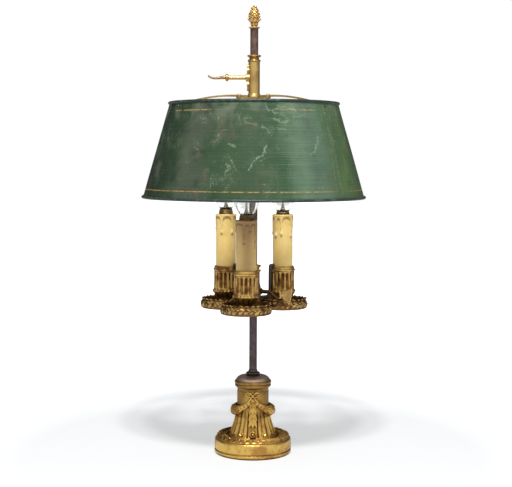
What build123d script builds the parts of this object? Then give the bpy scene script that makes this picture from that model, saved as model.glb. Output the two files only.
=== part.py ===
"""A three-light bouillotte lamp: a turned and cast base, a round stem, a candelabra with
three candle lights, and a painted sheet-metal shade on a spider.

The candelabra and the shade each slide and turn on the stem, and a key clamps each one.
Lengths are millimetres, +Z is up, and the origin is the middle of the underside.
A bearing is an angle in degrees about the stem, from +X towards +Y; -Y is the front.
"""
from build123d import *
from math import atan2, cos, degrees, radians, sin, tan
import os

# ---------------------------------------------------------------- driving dimensions
fit_gap = 0.05                  # radial clearance of turned pieces that fit together
front_bearing = 270.0

# stem
stem_radius = 5.6
stem_bore_radius = 3.2
stem_top = 597.0
stem_foot = 5.0                 # underside of the stem, inside the plinth

# plinth and what is under it
plinth_radius = 54.4
plinth_height = 21.5
plinth_lip_height = 6.0
plinth_recess_radius = 44.5
plinth_recess_depth = 13.0
pad_radius = 49.0
pad_thickness = 1.5
washer_radius = 11.0
washer_thickness = 1.6
nut_across_corners = 19.0
nut_height = 5.0
wreath_inner_radius = 36.5
wreath_outer_radius = 51.0
wreath_height = 6.0
wreath_leaf_count = 24
cord_hole_radius = 3.0
cord_bush_radius = 4.2
cord_hole_height = 7.4
cord_bush_length = 9.5

# column
column_foot_radius = 34.0
column_neck_radius = 24.0
column_neck_height = 29.0       # foot to the top of the flare
column_lobe_count = 12
column_lobe_depth = 1.6
rosette_count = 6
rosette_height = 11.5           # above the column's foot
drum_radius = 22.3
column_height = 67.0            # foot to the cap
cap_height = 21.0
cap_bead_radius = 26.1
garland_count = 2
garland_drop = 23.0             # bow knot to the lowest swag centre
garland_thickness = 9.2
garland_depth = 16.6
garland_tie = 0.17              # share of the way round where the ribbon meets the swag
ribbon_width = 3.0
bow_height = 61.5               # above the column's foot
bow_loop_radius = 3.3
bow_wire_radius = 1.3
bow_spread = 13.0               # degrees from the knot to a loop's middle
collar_radius = 9.9
collar_height = 8.0

# candelabra
tray_height = 202.8             # underside of the pans
light_circle_radius = 47.2       # stem axis to candle axis
web_bite_bearings = (87.5, 202.5, 323.0)
pan_radius = 35.2
pan_floor = 5.3                 # pan floor above its underside
pan_border_height = 14.2
pan_dish_radius = 28.2          # flat floor inside the border
pan_recess_radius = 26.0        # recess in the underside
pan_underside_recess = 2.3
web_radius = 35.0               # plate between the pans
web_bite_radius = 12.0
sleeve_radius = 9.1
sleeve_waist_radius = 10.5
sleeve_length = 48.7
sleeve_collar_radius = 10.9
sleeve_collar_height = 9.4
liner_wall = 0.9
lower_key_height = 27.0         # above the underside of the pans
lower_key_bearing = 321.0
lower_boss_radius = 5.0
lower_boss_reach = 13.5

cup_height = 54.7               # pan floor to cup rim
cup_foot_radius = 9.6
cup_body_radius = 16.2
cup_rim_radius = 17.8
cup_ring_radius = 18.2
cup_ring_height = 18.5          # above the pan floor
cup_floor = 24.0                # candle seat above the pan floor
flute_count = 16
flute_radius = 2.0

nipple_radius = 5.0
nipple_bore_radius = 3.4
nipple_nut_corners = 16.0
nipple_nut_height = 2.2
tube_radius = 14.2
tube_wall = 1.3
tube_tops = {"front": 332.0, "left": 336.8, "right": 336.8}
holder_radius = 10.0
holder_length = 38.0
holder_tops = {"front": 338.8, "left": 344.4, "right": 340.8}
cap_thread_radius = 6.8
cap_length = 22.0
bulb_neck_radius = 8.6
bulb_radius = 17.6
bulb_length = 70.0
bulb_wall = 0.9
lead_radius = 2.1

# shade carrier
carrier_base = 505.0            # top of the spider hub
carrier_radius = 8.0
carrier_length = 46.2
carrier_collar_radius = 9.7
carrier_collar_height = 9.0
boss_plate_reach = 10.0
boss_plate_width = 7.0
boss_plate_span = 31.0
upper_boss_radius = 5.4
upper_boss_reach = 11.6
upper_key_bearing = 180.0
upper_key_height = 24.0         # above the spider hub

# clamp keys
key_radius = 2.8
key_shaft = 28.0                # upper key, clamp sleeve to bead
key_bead_radius = 5.3
key_bead_width = 4.0

# spider and shade
hub_radius = 9.4
hub_height = 6.5
stub_thickness = 1.8
arm_width = 9.0
arm_thickness = 2.7
arm_end_thickness = 1.9
arm_end_length = 28.0           # the strap is full width from here out
arm_end_drop = 4.0              # rim centre to the strap's underside at its end
arm_arch = 3.2                  # rise of the strap's middle above its chord
stub_rise = 1.4                 # hub's underside to the stubs' underside
arm_rivet_place = 24.5
arm_rivet_radius = 1.5
arm_bearings = {"left": 211.0, "right": 322.0, "back": 86.0}
shade_top_radius = 117.8        # outside of the wall
shade_bottom_radius = 155.0
shade_top = 492.7
shade_height = 130.3
shade_wall = 0.8
rim_wire_radius = 2.0
rim_overhang = 0.8
seam_width = 7.0
lap_thickness = 0.7
lug_length = 13.0
lug_thickness = 1.8
screw_drop = 6.2                # rim centre to screw axis, down the wall
screw_radius = 1.5

# finial
dish_radius = 8.0
dish_height = 2.2
finial_height = 30.3
finial_radius = 8.2
calyx_radius = 9.9
finial_neck_radius = 3.8
finial_spigot = 9.8             # length inside the stem
finial_spigot_radius = 3.15

# ---------------------------------------------------------------- shared places
lights = {"front": 258.0, "left": 147.0, "right": 28.0}     # bearings of the candle lights
bore_radius = stem_radius + fit_gap
liner_outer_radius = bore_radius + liner_wall
sleeve_bore_radius = liner_outer_radius + fit_gap
pan_floor_height = tray_height + pan_floor
column_foot_height = plinth_height
column_top = column_foot_height + column_height
cap_top = column_top + cap_height
sleeve_top = pan_floor_height + sleeve_length
carrier_top = carrier_base + carrier_length
hub_underside = carrier_base - hub_height
stub_underside = hub_underside + stub_rise
shade_bottom = shade_top - shade_height
shade_slope = atan2(shade_bottom_radius - shade_top_radius, shade_height)


# ---------------------------------------------------------------- helpers
def outline(start, *steps):
    """A closed face of (radius, height) points. A step is a point for a straight run, or
    a pair of points for a bend through the first one to the second."""
    here = start
    edges = []
    for step in steps:
        if isinstance(step[0], tuple):
            middle, end = step
            edges.append(bend(upright(here), upright(middle), upright(end)))
        else:
            end = step
            edges.append(Line(upright(here), upright(end)))
        here = end
    edges.append(Line(upright(here), upright(start)))
    return make_face(edges)


def upright(point):
    """A (radius, height) point in the XZ plane."""
    return (point[0], 0, point[1])


def bend(here, middle, end):
    """An arc, where the ring that it sweeps about the axis has an open middle. A flatter
    arc would sweep a surface that crosses itself on the axis, so it is a spline, and a
    bend that reaches the axis is a curve that is only pulled towards its middle point."""
    if 0 in (here[0], end[0]):
        return Bezier(here, middle, end)
    arc = ThreePointArc(here, middle, end)
    if arc.arc_center.X > arc.radius:
        return arc
    return Spline(here, middle, end)


def turned(start, *steps):
    """The solid that an outline sweeps about the Z axis."""
    return revolve(outline(start, *steps), Axis.Z)


def tube(outer, inner, low, high):
    """A plain tube about the Z axis."""
    return turned((inner, low), (outer, low), (outer, high), (inner, high))


def rod(radius, low, high):
    """A plain round bar about the Z axis."""
    return Pos(0, 0, low) * Cylinder(radius, high - low, align=(Align.CENTER, Align.CENTER, Align.MIN))


def outward(shape, bearing, radius=0.0, height=0.0):
    """Turns a shape whose own +X points outwards to a bearing, and moves it out and up."""
    return Rot(0, 0, bearing) * Pos(radius, 0, height) * shape


def radial_rod(radius, near, far, height=0.0):
    """A round bar along +X from one distance to another."""
    return Pos(near, 0, height) * Rot(0, 90, 0) * Cylinder(
        radius, far - near, align=(Align.CENTER, Align.CENTER, Align.MIN))


def spine_loft(stations):
    """A smooth form through ellipses that stand across a curve in the XZ plane.
    A station is (x, z, half width along Y, half thickness)."""
    sections = []
    for place, (x, z, half_width, half_thickness) in enumerate(stations):
        before = stations[max(place - 1, 0)]
        after = stations[min(place + 1, len(stations) - 1)]
        along = Vector(after[0] - before[0], 0, after[1] - before[1])
        across = Plane(origin=(x, 0, z), x_dir=(0, 1, 0), z_dir=along)
        sections.append(across * Ellipse(half_width, half_thickness))
    return loft(sections)


def shade_radius(height):
    """Outside radius of the shade's wall at a height."""
    return shade_top_radius + (shade_top - height) * tan(shade_slope)


# ---------------------------------------------------------------- base
def plinth():
    lip_top = plinth_lip_height
    shoulder = plinth_radius - 0.2
    body = turned(
        (bore_radius, plinth_recess_depth),
        (plinth_recess_radius, plinth_recess_depth),
        (plinth_recess_radius, pad_thickness),
        (pad_radius + fit_gap, pad_thickness),
        (pad_radius + fit_gap, 0),
        (plinth_radius - 1.8, 0),
        ((plinth_radius - 0.5, lip_top * 0.4), (plinth_radius, lip_top - 1.2)),
        (shoulder - 1.3, lip_top),
        (shoulder - 1.3, lip_top + 0.9),
        (shoulder, lip_top + 1.6),
        (shoulder, plinth_height - 3.2),
        ((shoulder - 0.6, plinth_height - 0.9), (shoulder - 2.2, plinth_height)),
        (bore_radius, plinth_height),
    )
    bush_seat = radial_rod(cord_bush_radius + fit_gap, plinth_recess_radius - 2,
                           plinth_radius + 2, cord_hole_height)
    return body - outward(bush_seat, 90)


def cord_bush():
    inner_end = plinth_recess_radius - 1.0
    bush = radial_rod(cord_bush_radius, inner_end, inner_end + cord_bush_length, cord_hole_height)
    hole = radial_rod(cord_hole_radius, plinth_recess_radius - 3.0, plinth_radius + 3.0, cord_hole_height)
    return outward(bush - hole, 90)


def base_pad():
    return rod(pad_radius, 0, pad_thickness)


def tie_washer():
    high = plinth_recess_depth
    return tube(washer_radius, bore_radius, high - washer_thickness, high)


def tie_nut():
    high = plinth_recess_depth - washer_thickness
    hexagon = extrude(RegularPolygon(nut_across_corners / 2, 6), nut_height)
    return Pos(0, 0, high - nut_height) * hexagon - rod(bore_radius, 0, high)


def plinth_wreath():
    low = plinth_height
    middle = (wreath_inner_radius + wreath_outer_radius) / 2
    ring = turned(
        (wreath_inner_radius, low),
        (wreath_outer_radius, low),
        (wreath_outer_radius, low + 1.4),
        ((middle + 2.0, low + wreath_height), (wreath_inner_radius + 1.2, low + 2.2)),
        (wreath_inner_radius, low + 1.6),
    )
    groove = Pos(middle + 1.0, 0, low + wreath_height + 0.2) * Rot(0, 90, 25) * Cylinder(1.3, 24)
    for leaf in range(wreath_leaf_count):
        ring -= Rot(0, 0, leaf * 360 / wreath_leaf_count) * groove
    return ring


def lobed_section(height, crest):
    """A rosette outline of the column's flare: one outward arc for each lobe."""
    valley = crest - column_lobe_depth
    step = 360 / column_lobe_count
    edges = []
    for lobe in range(column_lobe_count):
        first, middle, last = (radians(step * (lobe + part - 0.5)) for part in (0, 0.5, 1))
        edges.append(ThreePointArc((valley * cos(first), valley * sin(first)),
                                   (crest * cos(middle), crest * sin(middle)),
                                   (valley * cos(last), valley * sin(last))))
    return Pos(0, 0, height) * make_face(edges)


def base_column():
    foot = column_foot_height
    neck = foot + column_neck_height
    spread = column_foot_radius - column_neck_radius
    flare = loft([
        lobed_section(foot + 5.0, column_foot_radius - 0.8),
        lobed_section(foot + 11.0, column_foot_radius - 0.34 * spread),
        lobed_section(foot + 19.0, column_foot_radius - 0.64 * spread),
        lobed_section(neck, column_neck_radius + 0.6),
    ])
    foot_ring = turned(
        (bore_radius, foot),
        (column_foot_radius - 1.2, foot),
        ((column_foot_radius, foot + 1.8), (column_foot_radius - 0.4, foot + 3.6)),
        (column_foot_radius - 1.8, foot + 5.0),
        (bore_radius, foot + 5.0),
    )
    drum = turned(
        (bore_radius, neck),
        (column_neck_radius, neck),
        ((column_neck_radius - 0.2, neck + 1.6), (drum_radius, neck + 2.8)),
        (drum_radius, column_top),
        (bore_radius, column_top),
    )
    face = column_foot_radius - 1.6
    rosette = radial_rod(4.3, drum_radius, face, foot + rosette_height)
    rosette += radial_rod(1.9, drum_radius, face + 1.1, foot + rosette_height)
    for place in range(rosette_count):
        flare += outward(rosette, front_bearing + 360 / rosette_count * place)
    return (flare + foot_ring + drum) - rod(bore_radius, foot - 1, column_top + 1)


def swag_section(from_bearing, share, half_depth, half_height):
    """An ellipse across the swag, at a share of the way from one bow to the next."""
    fullness = 1 - (2 * share - 1) ** 2
    bearing = from_bearing + 360 / garland_count * share
    height = column_foot_height + bow_height - garland_drop * fullness ** 0.69
    lean = 45 * (1 - 2 * share)
    place = Rot(0, 0, bearing) * Pos(drum_radius + 0.86 * half_depth, 0, height)
    return place * Rot(90 - lean, 0, 0) * Ellipse(half_depth, half_height)


def garland(from_bearing):
    """One swag between two bows, thickest in its middle, with the ribbons that hold it."""
    full_depth = garland_thickness / 2
    full_height = garland_depth / 2
    end_share = 1 - garland_tie
    swag = loft([
        swag_section(from_bearing, garland_tie, 0.4 * full_depth, 0.3 * full_height),
        swag_section(from_bearing, 0.24, 0.75 * full_depth, 0.65 * full_height),
        swag_section(from_bearing, 0.5, full_depth, full_height),
        swag_section(from_bearing, 0.76, 0.75 * full_depth, 0.65 * full_height),
        swag_section(from_bearing, end_share, 0.4 * full_depth, 0.3 * full_height),
    ])
    for first, middle, last in ((0.01, 0.09, garland_tie + 0.02), (0.99, 0.91, end_share - 0.02)):
        swag += loft([swag_section(from_bearing, share, 1.0, ribbon_width / 2)
                      for share in (first, middle, last)])
    return swag


def ribbon_bow():
    """A knot with two loops and a pendant of three husks, its own +X outwards."""
    high = column_foot_height + bow_height
    reach = drum_radius + 0.8
    bow = Pos(reach + 0.8, 0, high) * Sphere(2.9)
    for side in (-1, 1):
        loop = Rot(0, 90, 0) * Torus(bow_loop_radius, bow_wire_radius)
        bow += outward(loop, side * bow_spread, reach, high + 0.6)
    husks = ((7.0, 7.5, 2.2), (14.5, 9.0, 3.0), (23.0, 10.5, 3.8))
    for place, (drop, length, half_width) in enumerate(husks):
        husk = turned((0, length * 0.55), ((2 * half_width, -length * 0.1), (0, -length * 0.68)))
        bow += Pos(reach + 1.0 + 0.5 * place, 0, high - drop) * husk
    return bow


def column_garlands():
    drum = rod(drum_radius + 0.01, column_foot_height, column_top)
    neck = rod(column_neck_radius + 0.7, column_foot_height, column_foot_height + column_neck_height + 2.9)
    trim = None
    for side in range(garland_count):
        bearing = front_bearing + 360 / garland_count * side
        piece = garland(bearing) + outward(ribbon_bow(), bearing)
        trim = piece if trim is None else trim + piece
    return trim - drum - neck


def column_cap():
    low = column_top
    bead = cap_bead_radius
    return turned(
        (bore_radius, low),
        (drum_radius - 0.2, low),
        ((drum_radius - 0.1, low + 3.2), (bead - 1.6, low + 5.6)),
        ((bead - 0.5, low + 7.4), (bead - 1.1, low + 9.2)),
        (bead - 1.3, low + 9.8),
        ((bead, low + 12.2), (bead - 1.1, low + 14.4)),
        (bead - 1.8, low + 14.8),
        ((bead - 4.8, low + 18.8), (collar_radius + 3.0, low + cap_height - 0.3)),
        (collar_radius, cap_top),
        (bore_radius, cap_top),
    )


def stem_collar():
    low = cap_top
    return turned(
        (bore_radius, low),
        (collar_radius - 2.0, low),
        ((collar_radius - 2.2, low + 1.0), (collar_radius - 1.0, low + 1.8)),
        ((collar_radius, low + 3.2), (collar_radius - 1.2, low + 4.6)),
        ((collar_radius - 3.2, low + 5.8), (collar_radius - 3.5, low + collar_height)),
        (bore_radius, low + collar_height),
    )


def stem():
    return tube(stem_radius, stem_bore_radius, stem_foot, stem_top)


def finial_dish():
    low = stem_top
    spigot = finial_spigot_radius + fit_gap
    return turned(
        (spigot, low),
        (stem_radius, low),
        ((dish_radius - 1.2, low + 0.5), (dish_radius, low + dish_height - 0.4)),
        (dish_radius - 0.4, low + dish_height),
        (spigot, low + dish_height),
    )


def finial():
    low = stem_top + dish_height
    tip = low + finial_height
    cone = low + 12.6
    return turned(
        (0, stem_top - finial_spigot),
        (finial_spigot_radius, stem_top - finial_spigot),
        (finial_spigot_radius, low),
        (finial_neck_radius + 0.4, low),
        ((finial_neck_radius - 0.6, low + 3.6), (finial_neck_radius + 0.8, low + 6.6)),
        ((calyx_radius - 2.2, low + 8.2), (calyx_radius, cone - 0.6)),
        (finial_radius - 0.1, cone),
        ((finial_radius - 0.9, cone + 7.5), (finial_radius * 0.56, tip - 3.4)),
        ((finial_radius * 0.38, tip), (0, tip)),
    )


# ---------------------------------------------------------------- candelabra
def pan():
    """One dished pan with its raised border, about its own axis."""
    low = tray_height
    top = low + pan_border_height
    edge = pan_radius
    return turned(
        (0, low + pan_underside_recess),
        (pan_recess_radius, low + pan_underside_recess),
        (pan_recess_radius + 2.0, low),
        (edge - 2.4, low),
        ((edge - 0.5, low + 0.9), (edge, low + 3.0)),
        ((edge - 0.5, low + 8.0), (edge - 2.4, top - 1.6)),
        ((edge - 3.6, top), (edge - 5.0, top - 1.2)),
        (pan_dish_radius, low + pan_floor),
        (0, low + pan_floor),
    )


def candle_tray():
    low = tray_height
    web = Circle(web_radius)
    for bearing in web_bite_bearings:
        web -= Rot(0, 0, bearing) * Pos(web_radius + 4, 0) * Circle(web_bite_radius)
    tray = Pos(0, 0, low + 1.0) * extrude(web, pan_floor - 1.0)
    for bearing in lights.values():
        dish = Pos(0, 0, low + pan_floor) * extrude(Circle(pan_dish_radius), pan_border_height)
        under = Pos(0, 0, low - 1) * extrude(Circle(pan_recess_radius), 1 + pan_underside_recess)
        tray = tray - outward(under, bearing, light_circle_radius)
        tray = (tray + outward(pan(), bearing, light_circle_radius)) - outward(
            dish, bearing, light_circle_radius)
    hub = rod(sleeve_waist_radius + 5.0, low + pan_underside_recess, low + pan_floor)
    clear_of_sleeve = rod(sleeve_waist_radius + 5.0, low + pan_floor, low + pan_floor + 20)
    tray = tray + hub - clear_of_sleeve - rod(sleeve_bore_radius, low - 1, low + 30)
    for bearing in lights.values():
        tray -= outward(rod(nipple_radius + fit_gap, low - 1, low + 30), bearing, light_circle_radius)
    return tray


def centre_sleeve():
    low = pan_floor_height
    key = tray_height + lower_key_height
    bore = sleeve_bore_radius
    waist = sleeve_waist_radius
    sleeve = turned(
        (bore, low),
        (waist + 4.4, low),
        ((waist + 4.8, low + 1.6), (waist + 3.6, low + 2.8)),
        ((waist + 0.8, low + 5.0), (waist, low + 10.0)),
        (waist, key + 6.0),
        (sleeve_radius, key + 11.0),
        (sleeve_radius, sleeve_top),
        (bore, sleeve_top),
    )
    boss = radial_rod(lower_boss_radius, bore + 1.0, lower_boss_reach, key)
    sleeve += outward(boss, lower_key_bearing)
    key_hole = radial_rod(key_radius + fit_gap, 0, lower_boss_reach + 2, key)
    return sleeve - outward(key_hole, lower_key_bearing)


def sleeve_collar():
    low = sleeve_top
    edge = sleeve_collar_radius
    neck = sleeve_radius - 0.6
    return turned(
        (bore_radius + fit_gap, low),
        (edge - 0.8, low),
        ((edge, low + 1.1), (edge - 0.8, low + 2.2)),
        (neck, low + 3.2),
        (neck, low + 5.4),
        (edge - 1.0, low + 6.8),
        ((edge, low + 7.9), (edge - 1.4, low + sleeve_collar_height)),
        (bore_radius + fit_gap, low + sleeve_collar_height),
    )


def split_liner(low, high, bearing):
    """A sprung brass tube with one slit, which the clamp key presses on the stem."""
    slit = Pos(stem_radius + 1, 0, (low + high) / 2) * Box(4, 1.2, high - low + 2)
    return tube(liner_outer_radius, bore_radius, low, high) - outward(slit, bearing)


def candle_cup():
    """One fluted cup about its own axis, standing on the pan's floor."""
    low = pan_floor_height
    ring = low + cup_ring_height
    rim = low + cup_height
    body = cup_body_radius
    cup = turned(
        (nipple_radius + fit_gap, low),
        (cup_foot_radius, low),
        ((cup_foot_radius + 0.5, low + 1.2), (cup_foot_radius - 0.8, low + 2.4)),
        ((cup_foot_radius - 2.6, low + 4.6), (cup_foot_radius - 1.6, low + 7.0)),
        ((cup_foot_radius + 3.2, low + 10.6), (cup_ring_radius - 2.4, ring - 3.0)),
        ((cup_ring_radius, ring), (cup_ring_radius - 1.2, ring + 3.2)),
        (body + 0.6, ring + 4.0),
        (body, ring + 16.0),
        (body + 0.3, rim - 7.2),
        ((cup_rim_radius, rim - 5.0), (body + 0.4, rim - 3.4)),
        ((body + 0.3, rim - 1.4), (body - 0.4, rim)),
        (tube_radius + fit_gap, rim),
        (tube_radius + fit_gap, low + cup_floor),
        (nipple_radius + fit_gap, low + cup_floor),
    )
    flute = Pos(body + 1.3, 0, 0) * rod(flute_radius, ring + 5.0, rim - 9.4)
    for place in range(flute_count):
        cup -= Rot(0, 0, (place + 0.5) * 360 / flute_count) * flute
    return cup


def candle_nipple(light):
    """The threaded tube that holds pan, cup and lamp holder together."""
    low = tray_height + 0.2
    high = holder_tops[light] - holder_length + 8.0
    return tube(nipple_radius, nipple_bore_radius, low, high)


def nipple_nut():
    high = tray_height + pan_underside_recess
    hexagon = extrude(RegularPolygon(nipple_nut_corners / 2, 6), nipple_nut_height)
    return Pos(0, 0, high - nipple_nut_height) * hexagon - rod(nipple_radius + fit_gap, high - 5, high + 1)


def candle_tube(light):
    """The candle sleeve, with a softly rounded wax lip at its top."""
    low = pan_floor_height + cup_floor
    high = tube_tops[light]
    inner = tube_radius - tube_wall
    return turned(
        (inner, low),
        (tube_radius, low),
        (tube_radius, high - 3.0),
        ((tube_radius + 0.35, high - 1.4), (tube_radius - 0.6, high)),
        (inner, high),
    )


def lamp_holder(light):
    high = holder_tops[light]
    low = high - holder_length
    return turned(
        (nipple_radius + fit_gap, low),
        (holder_radius - 1.6, low),
        (holder_radius, low + 2.0),
        (holder_radius, high - 3.4),
        (holder_radius - 0.5, high - 3.0),
        (holder_radius - 0.5, high - 0.8),
        (holder_radius - 1.0, high),
        (cap_thread_radius + 0.3, high),
        (cap_thread_radius + 0.3, low + 8.0),
        (nipple_radius + fit_gap, low + 8.0),
    )


def bulb_outline(light, inset):
    """Half of the glass's outline, drawn in by a wall where an inside is wanted."""
    low = holder_tops[light] + 0.3
    wide = bulb_radius - inset
    neck = bulb_neck_radius - inset
    return (
        (neck, low + inset),
        ((neck + 3.4, low + 4.2), (wide - 1.6, low + 12.5)),
        ((wide, low + 20.5), (wide - 1.8, low + 32.0)),
        ((wide - 6.8, low + 49.0), (3.2, low + bulb_length - 6.0 - inset)),
        ((2.4, low + bulb_length - inset), (0, low + bulb_length - inset)),
    )


def bulb_glass(light):
    """A clear candle bulb's blown glass, hollow, closed at the neck."""
    low = holder_tops[light] + 0.3
    start, *bend = bulb_outline(light, 0)
    solid = turned((0, low), start, *bend)
    start, *bend = bulb_outline(light, bulb_wall)
    return solid - turned((0, low + bulb_wall), start, *bend)


def bulb_cap(light):
    """The screw cap below the glass, inside the lamp holder."""
    high = holder_tops[light] + 0.3
    edge = cap_thread_radius
    return turned(
        (0, high - cap_length),
        (3.2, high - cap_length),
        (edge - 0.6, high - cap_length + 4.0),
        (edge, high - cap_length + 5.0),
        (edge, high),
        (0, high),
    )


def bulb_mount(light):
    """The inner glass stem with its two wires and the arched filament."""
    low = holder_tops[light] + 0.3 + bulb_wall
    mount = turned((0, low), (4.2, low), ((2.4, low + 5), (2.0, low + 17)),
                   ((1.7, low + 21), (0, low + 21)))
    for side in (-1, 1):
        mount += Pos(side * 3.4, 0, low + 25) * Rot(0, side * 14, 0) * Cylinder(0.45, 21)
    hoop = Pos(0, 0, low + 35) * Rot(90, 0, 0) * Torus(5.9, 0.45)
    return mount + (hoop - rod(12, low + 5, low + 34.5))


def lead(bearing):
    """A short flexible lead from the cup's upper ring down to the centre sleeve."""
    rim = pan_floor_height + cup_height
    down = light_circle_radius - cup_rim_radius - lead_radius - 0.9
    inlet = tray_height + pan_border_height + lead_radius + 1.1
    path = FilletPolyline(
        (light_circle_radius - tube_radius + 0.8, 0, rim + 1.4),
        (down + 0.4, 0, rim + 2.4),
        (down, 0, inlet),
        (sleeve_waist_radius - 1.0, 0, inlet),
        radius=(2.4, 7.0),
    )
    start = Plane(origin=path @ 0, z_dir=path % 0)
    flex = sweep(start * Circle(lead_radius), path=path)
    return outward(flex, bearing)


# ---------------------------------------------------------------- keys
def upper_key():
    """The straight clamp key; its own +X points away from the stem."""
    bead = carrier_radius + key_shaft
    tip = liner_outer_radius + 0.2
    shaft = radial_rod(key_radius, tip, bead + 2.0)
    ring = Pos(bead + key_bead_width / 2, 0, 0) * Rot(0, 90, 0) * turned(
        (0, -key_bead_width / 2),
        (key_bead_radius - 1.4, -key_bead_width / 2),
        ((key_bead_radius, 0), (key_bead_radius - 1.4, key_bead_width / 2)),
        (0, key_bead_width / 2),
    )
    neck = bead + key_bead_width
    leaf = spine_loft([
        (neck - 0.6, 0.3, 2.6, 2.6),
        (neck + 5.0, 0.0, 4.4, 2.2),
        (neck + 12.0, -0.9, 6.6, 1.6),
        (neck + 18.5, -0.6, 5.6, 1.4),
        (neck + 22.6, 1.2, 3.6, 1.3),
        (neck + 24.2, 3.0, 1.6, 1.0),
    ])
    key = shaft + ring + leaf
    return outward(key, upper_key_bearing, 0, carrier_base + upper_key_height)


def lower_key():
    """The swan-neck clamp key with a shell-shaped thumb piece that curls up."""
    straight_end = sleeve_waist_radius + 15.0
    tip = liner_outer_radius + 0.2
    shaft = radial_rod(key_radius, tip, straight_end)
    swan = spine_loft([
        (straight_end - 0.6, 0.0, 2.8, 2.8),
        (straight_end + 7.0, -1.8, 2.6, 2.6),
        (straight_end + 15.0, -6.6, 2.6, 2.3),
        (straight_end + 24.0, -10.2, 3.4, 1.9),
        (straight_end + 32.0, -10.0, 5.4, 1.6),
        (straight_end + 38.0, -5.6, 7.4, 1.4),
        (straight_end + 40.0, 0.6, 8.0, 1.3),
        (straight_end + 38.8, 5.6, 5.2, 1.1),
    ])
    key = shaft + swan
    return outward(key, lower_key_bearing, 0, tray_height + lower_key_height)


# ---------------------------------------------------------------- shade carrier
def carrier_sleeve():
    key = carrier_base + upper_key_height
    sleeve = turned(
        (sleeve_bore_radius, carrier_base),
        (carrier_radius + 0.8, carrier_base),
        ((carrier_radius + 0.7, carrier_base + 0.8), (carrier_radius, carrier_base + 1.6)),
        (carrier_radius, carrier_top),
        (sleeve_bore_radius, carrier_top),
    )
    hole = radial_rod(key_radius + fit_gap, 0, carrier_radius + 6, key)
    return sleeve - outward(hole, upper_key_bearing)


def carrier_collar():
    low = carrier_top
    edge = carrier_collar_radius
    return turned(
        (bore_radius + fit_gap, low),
        (edge - 1.3, low),
        ((edge - 0.6, low + 1.3), (edge - 1.3, low + 2.6)),
        ((edge - 3.0, low + 4.2), (edge - 1.6, low + 6.4)),
        (edge, low + carrier_collar_height - 1.4),
        (edge - 0.3, low + carrier_collar_height),
        (bore_radius + fit_gap, low + carrier_collar_height),
    )


def carrier_boss():
    """The scalloped plate and round boss that the upper key screws through."""
    key = carrier_base + upper_key_height
    half = boss_plate_span / 2
    face = Rectangle(boss_plate_width, boss_plate_span)
    for end in (-1, 1):
        face += Pos(0, end * half) * Circle(boss_plate_width / 2 - 0.3)
        face += Pos(0, end * half * 0.62) * Circle(boss_plate_width / 2 + 0.7)
    plate = Rot(0, 90, 0) * Rot(0, 0, 90) * extrude(face, boss_plate_reach)
    boss = radial_rod(upper_boss_radius, 0, upper_boss_reach)
    hole = radial_rod(key_radius + fit_gap, 0, upper_boss_reach + 1)
    body = (plate + boss - hole) - rod(carrier_radius, -carrier_length, carrier_length)
    return outward(body, upper_key_bearing, 0, key)


def spider_hub():
    stub_low = stub_underside
    hub = turned(
        (sleeve_bore_radius, hub_underside),
        (hub_radius - 1.2, hub_underside),
        ((hub_radius, hub_underside + 1.6), (hub_radius, carrier_base - 1.6)),
        ((hub_radius - 0.3, carrier_base - 0.5), (hub_radius - 0.9, carrier_base)),
        (sleeve_bore_radius, carrier_base),
    )
    stub = Rectangle(arm_rivet_place, arm_width - 1.4, align=(Align.MIN, Align.CENTER))
    stub += Pos(arm_rivet_place, 0) * Circle(arm_width / 2 - 0.7)
    rivet_hole = rod(arm_rivet_radius + fit_gap, stub_low - 5, stub_low + 5)
    for bearing in arm_bearings.values():
        hub += outward(extrude(stub, stub_thickness), bearing, 0, stub_low)
        hub -= outward(rivet_hole, bearing, arm_rivet_place)
    return hub - rod(sleeve_bore_radius, hub_underside - 1, carrier_base + 1)


def lug_strip(low, high, outer_gap, thickness, half_angle):
    """A strip that lies along the inside of the shade's wall."""
    outer_low = shade_radius(low) - shade_wall - outer_gap
    outer_high = shade_radius(high) - shade_wall - outer_gap
    strip = outline(
        (outer_low - thickness, low),
        (outer_low, low),
        (outer_high, high),
        (outer_high - thickness, high),
    )
    return Rot(0, 0, -half_angle) * revolve(strip, Axis.Z, 2 * half_angle)


def spider_arm(name):
    """One arched strap from the hub's stub to a lug inside the shade's wall."""
    low = stub_underside + stub_thickness
    end_low = shade_top - arm_end_drop
    start = hub_radius + 3.0
    end = shade_top_radius - shade_wall - 5.0
    flat_end = arm_rivet_place + 7.0
    middle = (flat_end + end) / 2
    arch_low = (low + end_low) / 2 + arm_arch
    side = outline(
        (start, low),
        (flat_end, low),
        ((middle, arch_low), (end, end_low)),
        (end + 8.0, end_low),
        (end + 8.0, end_low + arm_end_thickness),
        (end, end_low + arm_end_thickness),
        ((middle, arch_low + (arm_thickness + arm_end_thickness) / 2),
         (flat_end, low + arm_thickness)),
        (start, low + arm_thickness),
    )
    strap = extrude(side, arm_width / 2, both=True)
    plan = Rectangle(end - 20.0, arm_width - 2.2, align=(Align.MIN, Align.CENTER))
    plan += Pos(arm_rivet_place, 0) * Circle(arm_width / 2)
    plan += Pos(end - arm_end_length, 0) * Rectangle(
        arm_end_length + 12.0, arm_width, align=(Align.MIN, Align.CENTER))
    strap = strap & (Pos(0, 0, low - 40) * extrude(plan, 80))
    half_angle = degrees(arm_width / 2 / (end + 5))
    lug_top = shade_top - rim_wire_radius - 0.4
    lug = lug_strip(shade_top - lug_length, lug_top, -1.0, lug_thickness + 1.0, half_angle)
    beyond = lug_strip(shade_top - lug_length - 2.0, shade_top, -8.0, 8.0 + fit_gap, 10)
    strap = (strap + lug) - beyond
    strap -= Pos(arm_rivet_place, 0, low) * Cylinder(arm_rivet_radius + fit_gap, 20)
    strap -= screw_axis(0) * Cylinder(screw_radius + fit_gap, 20)
    return outward(strap, arm_bearings[name])


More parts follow.
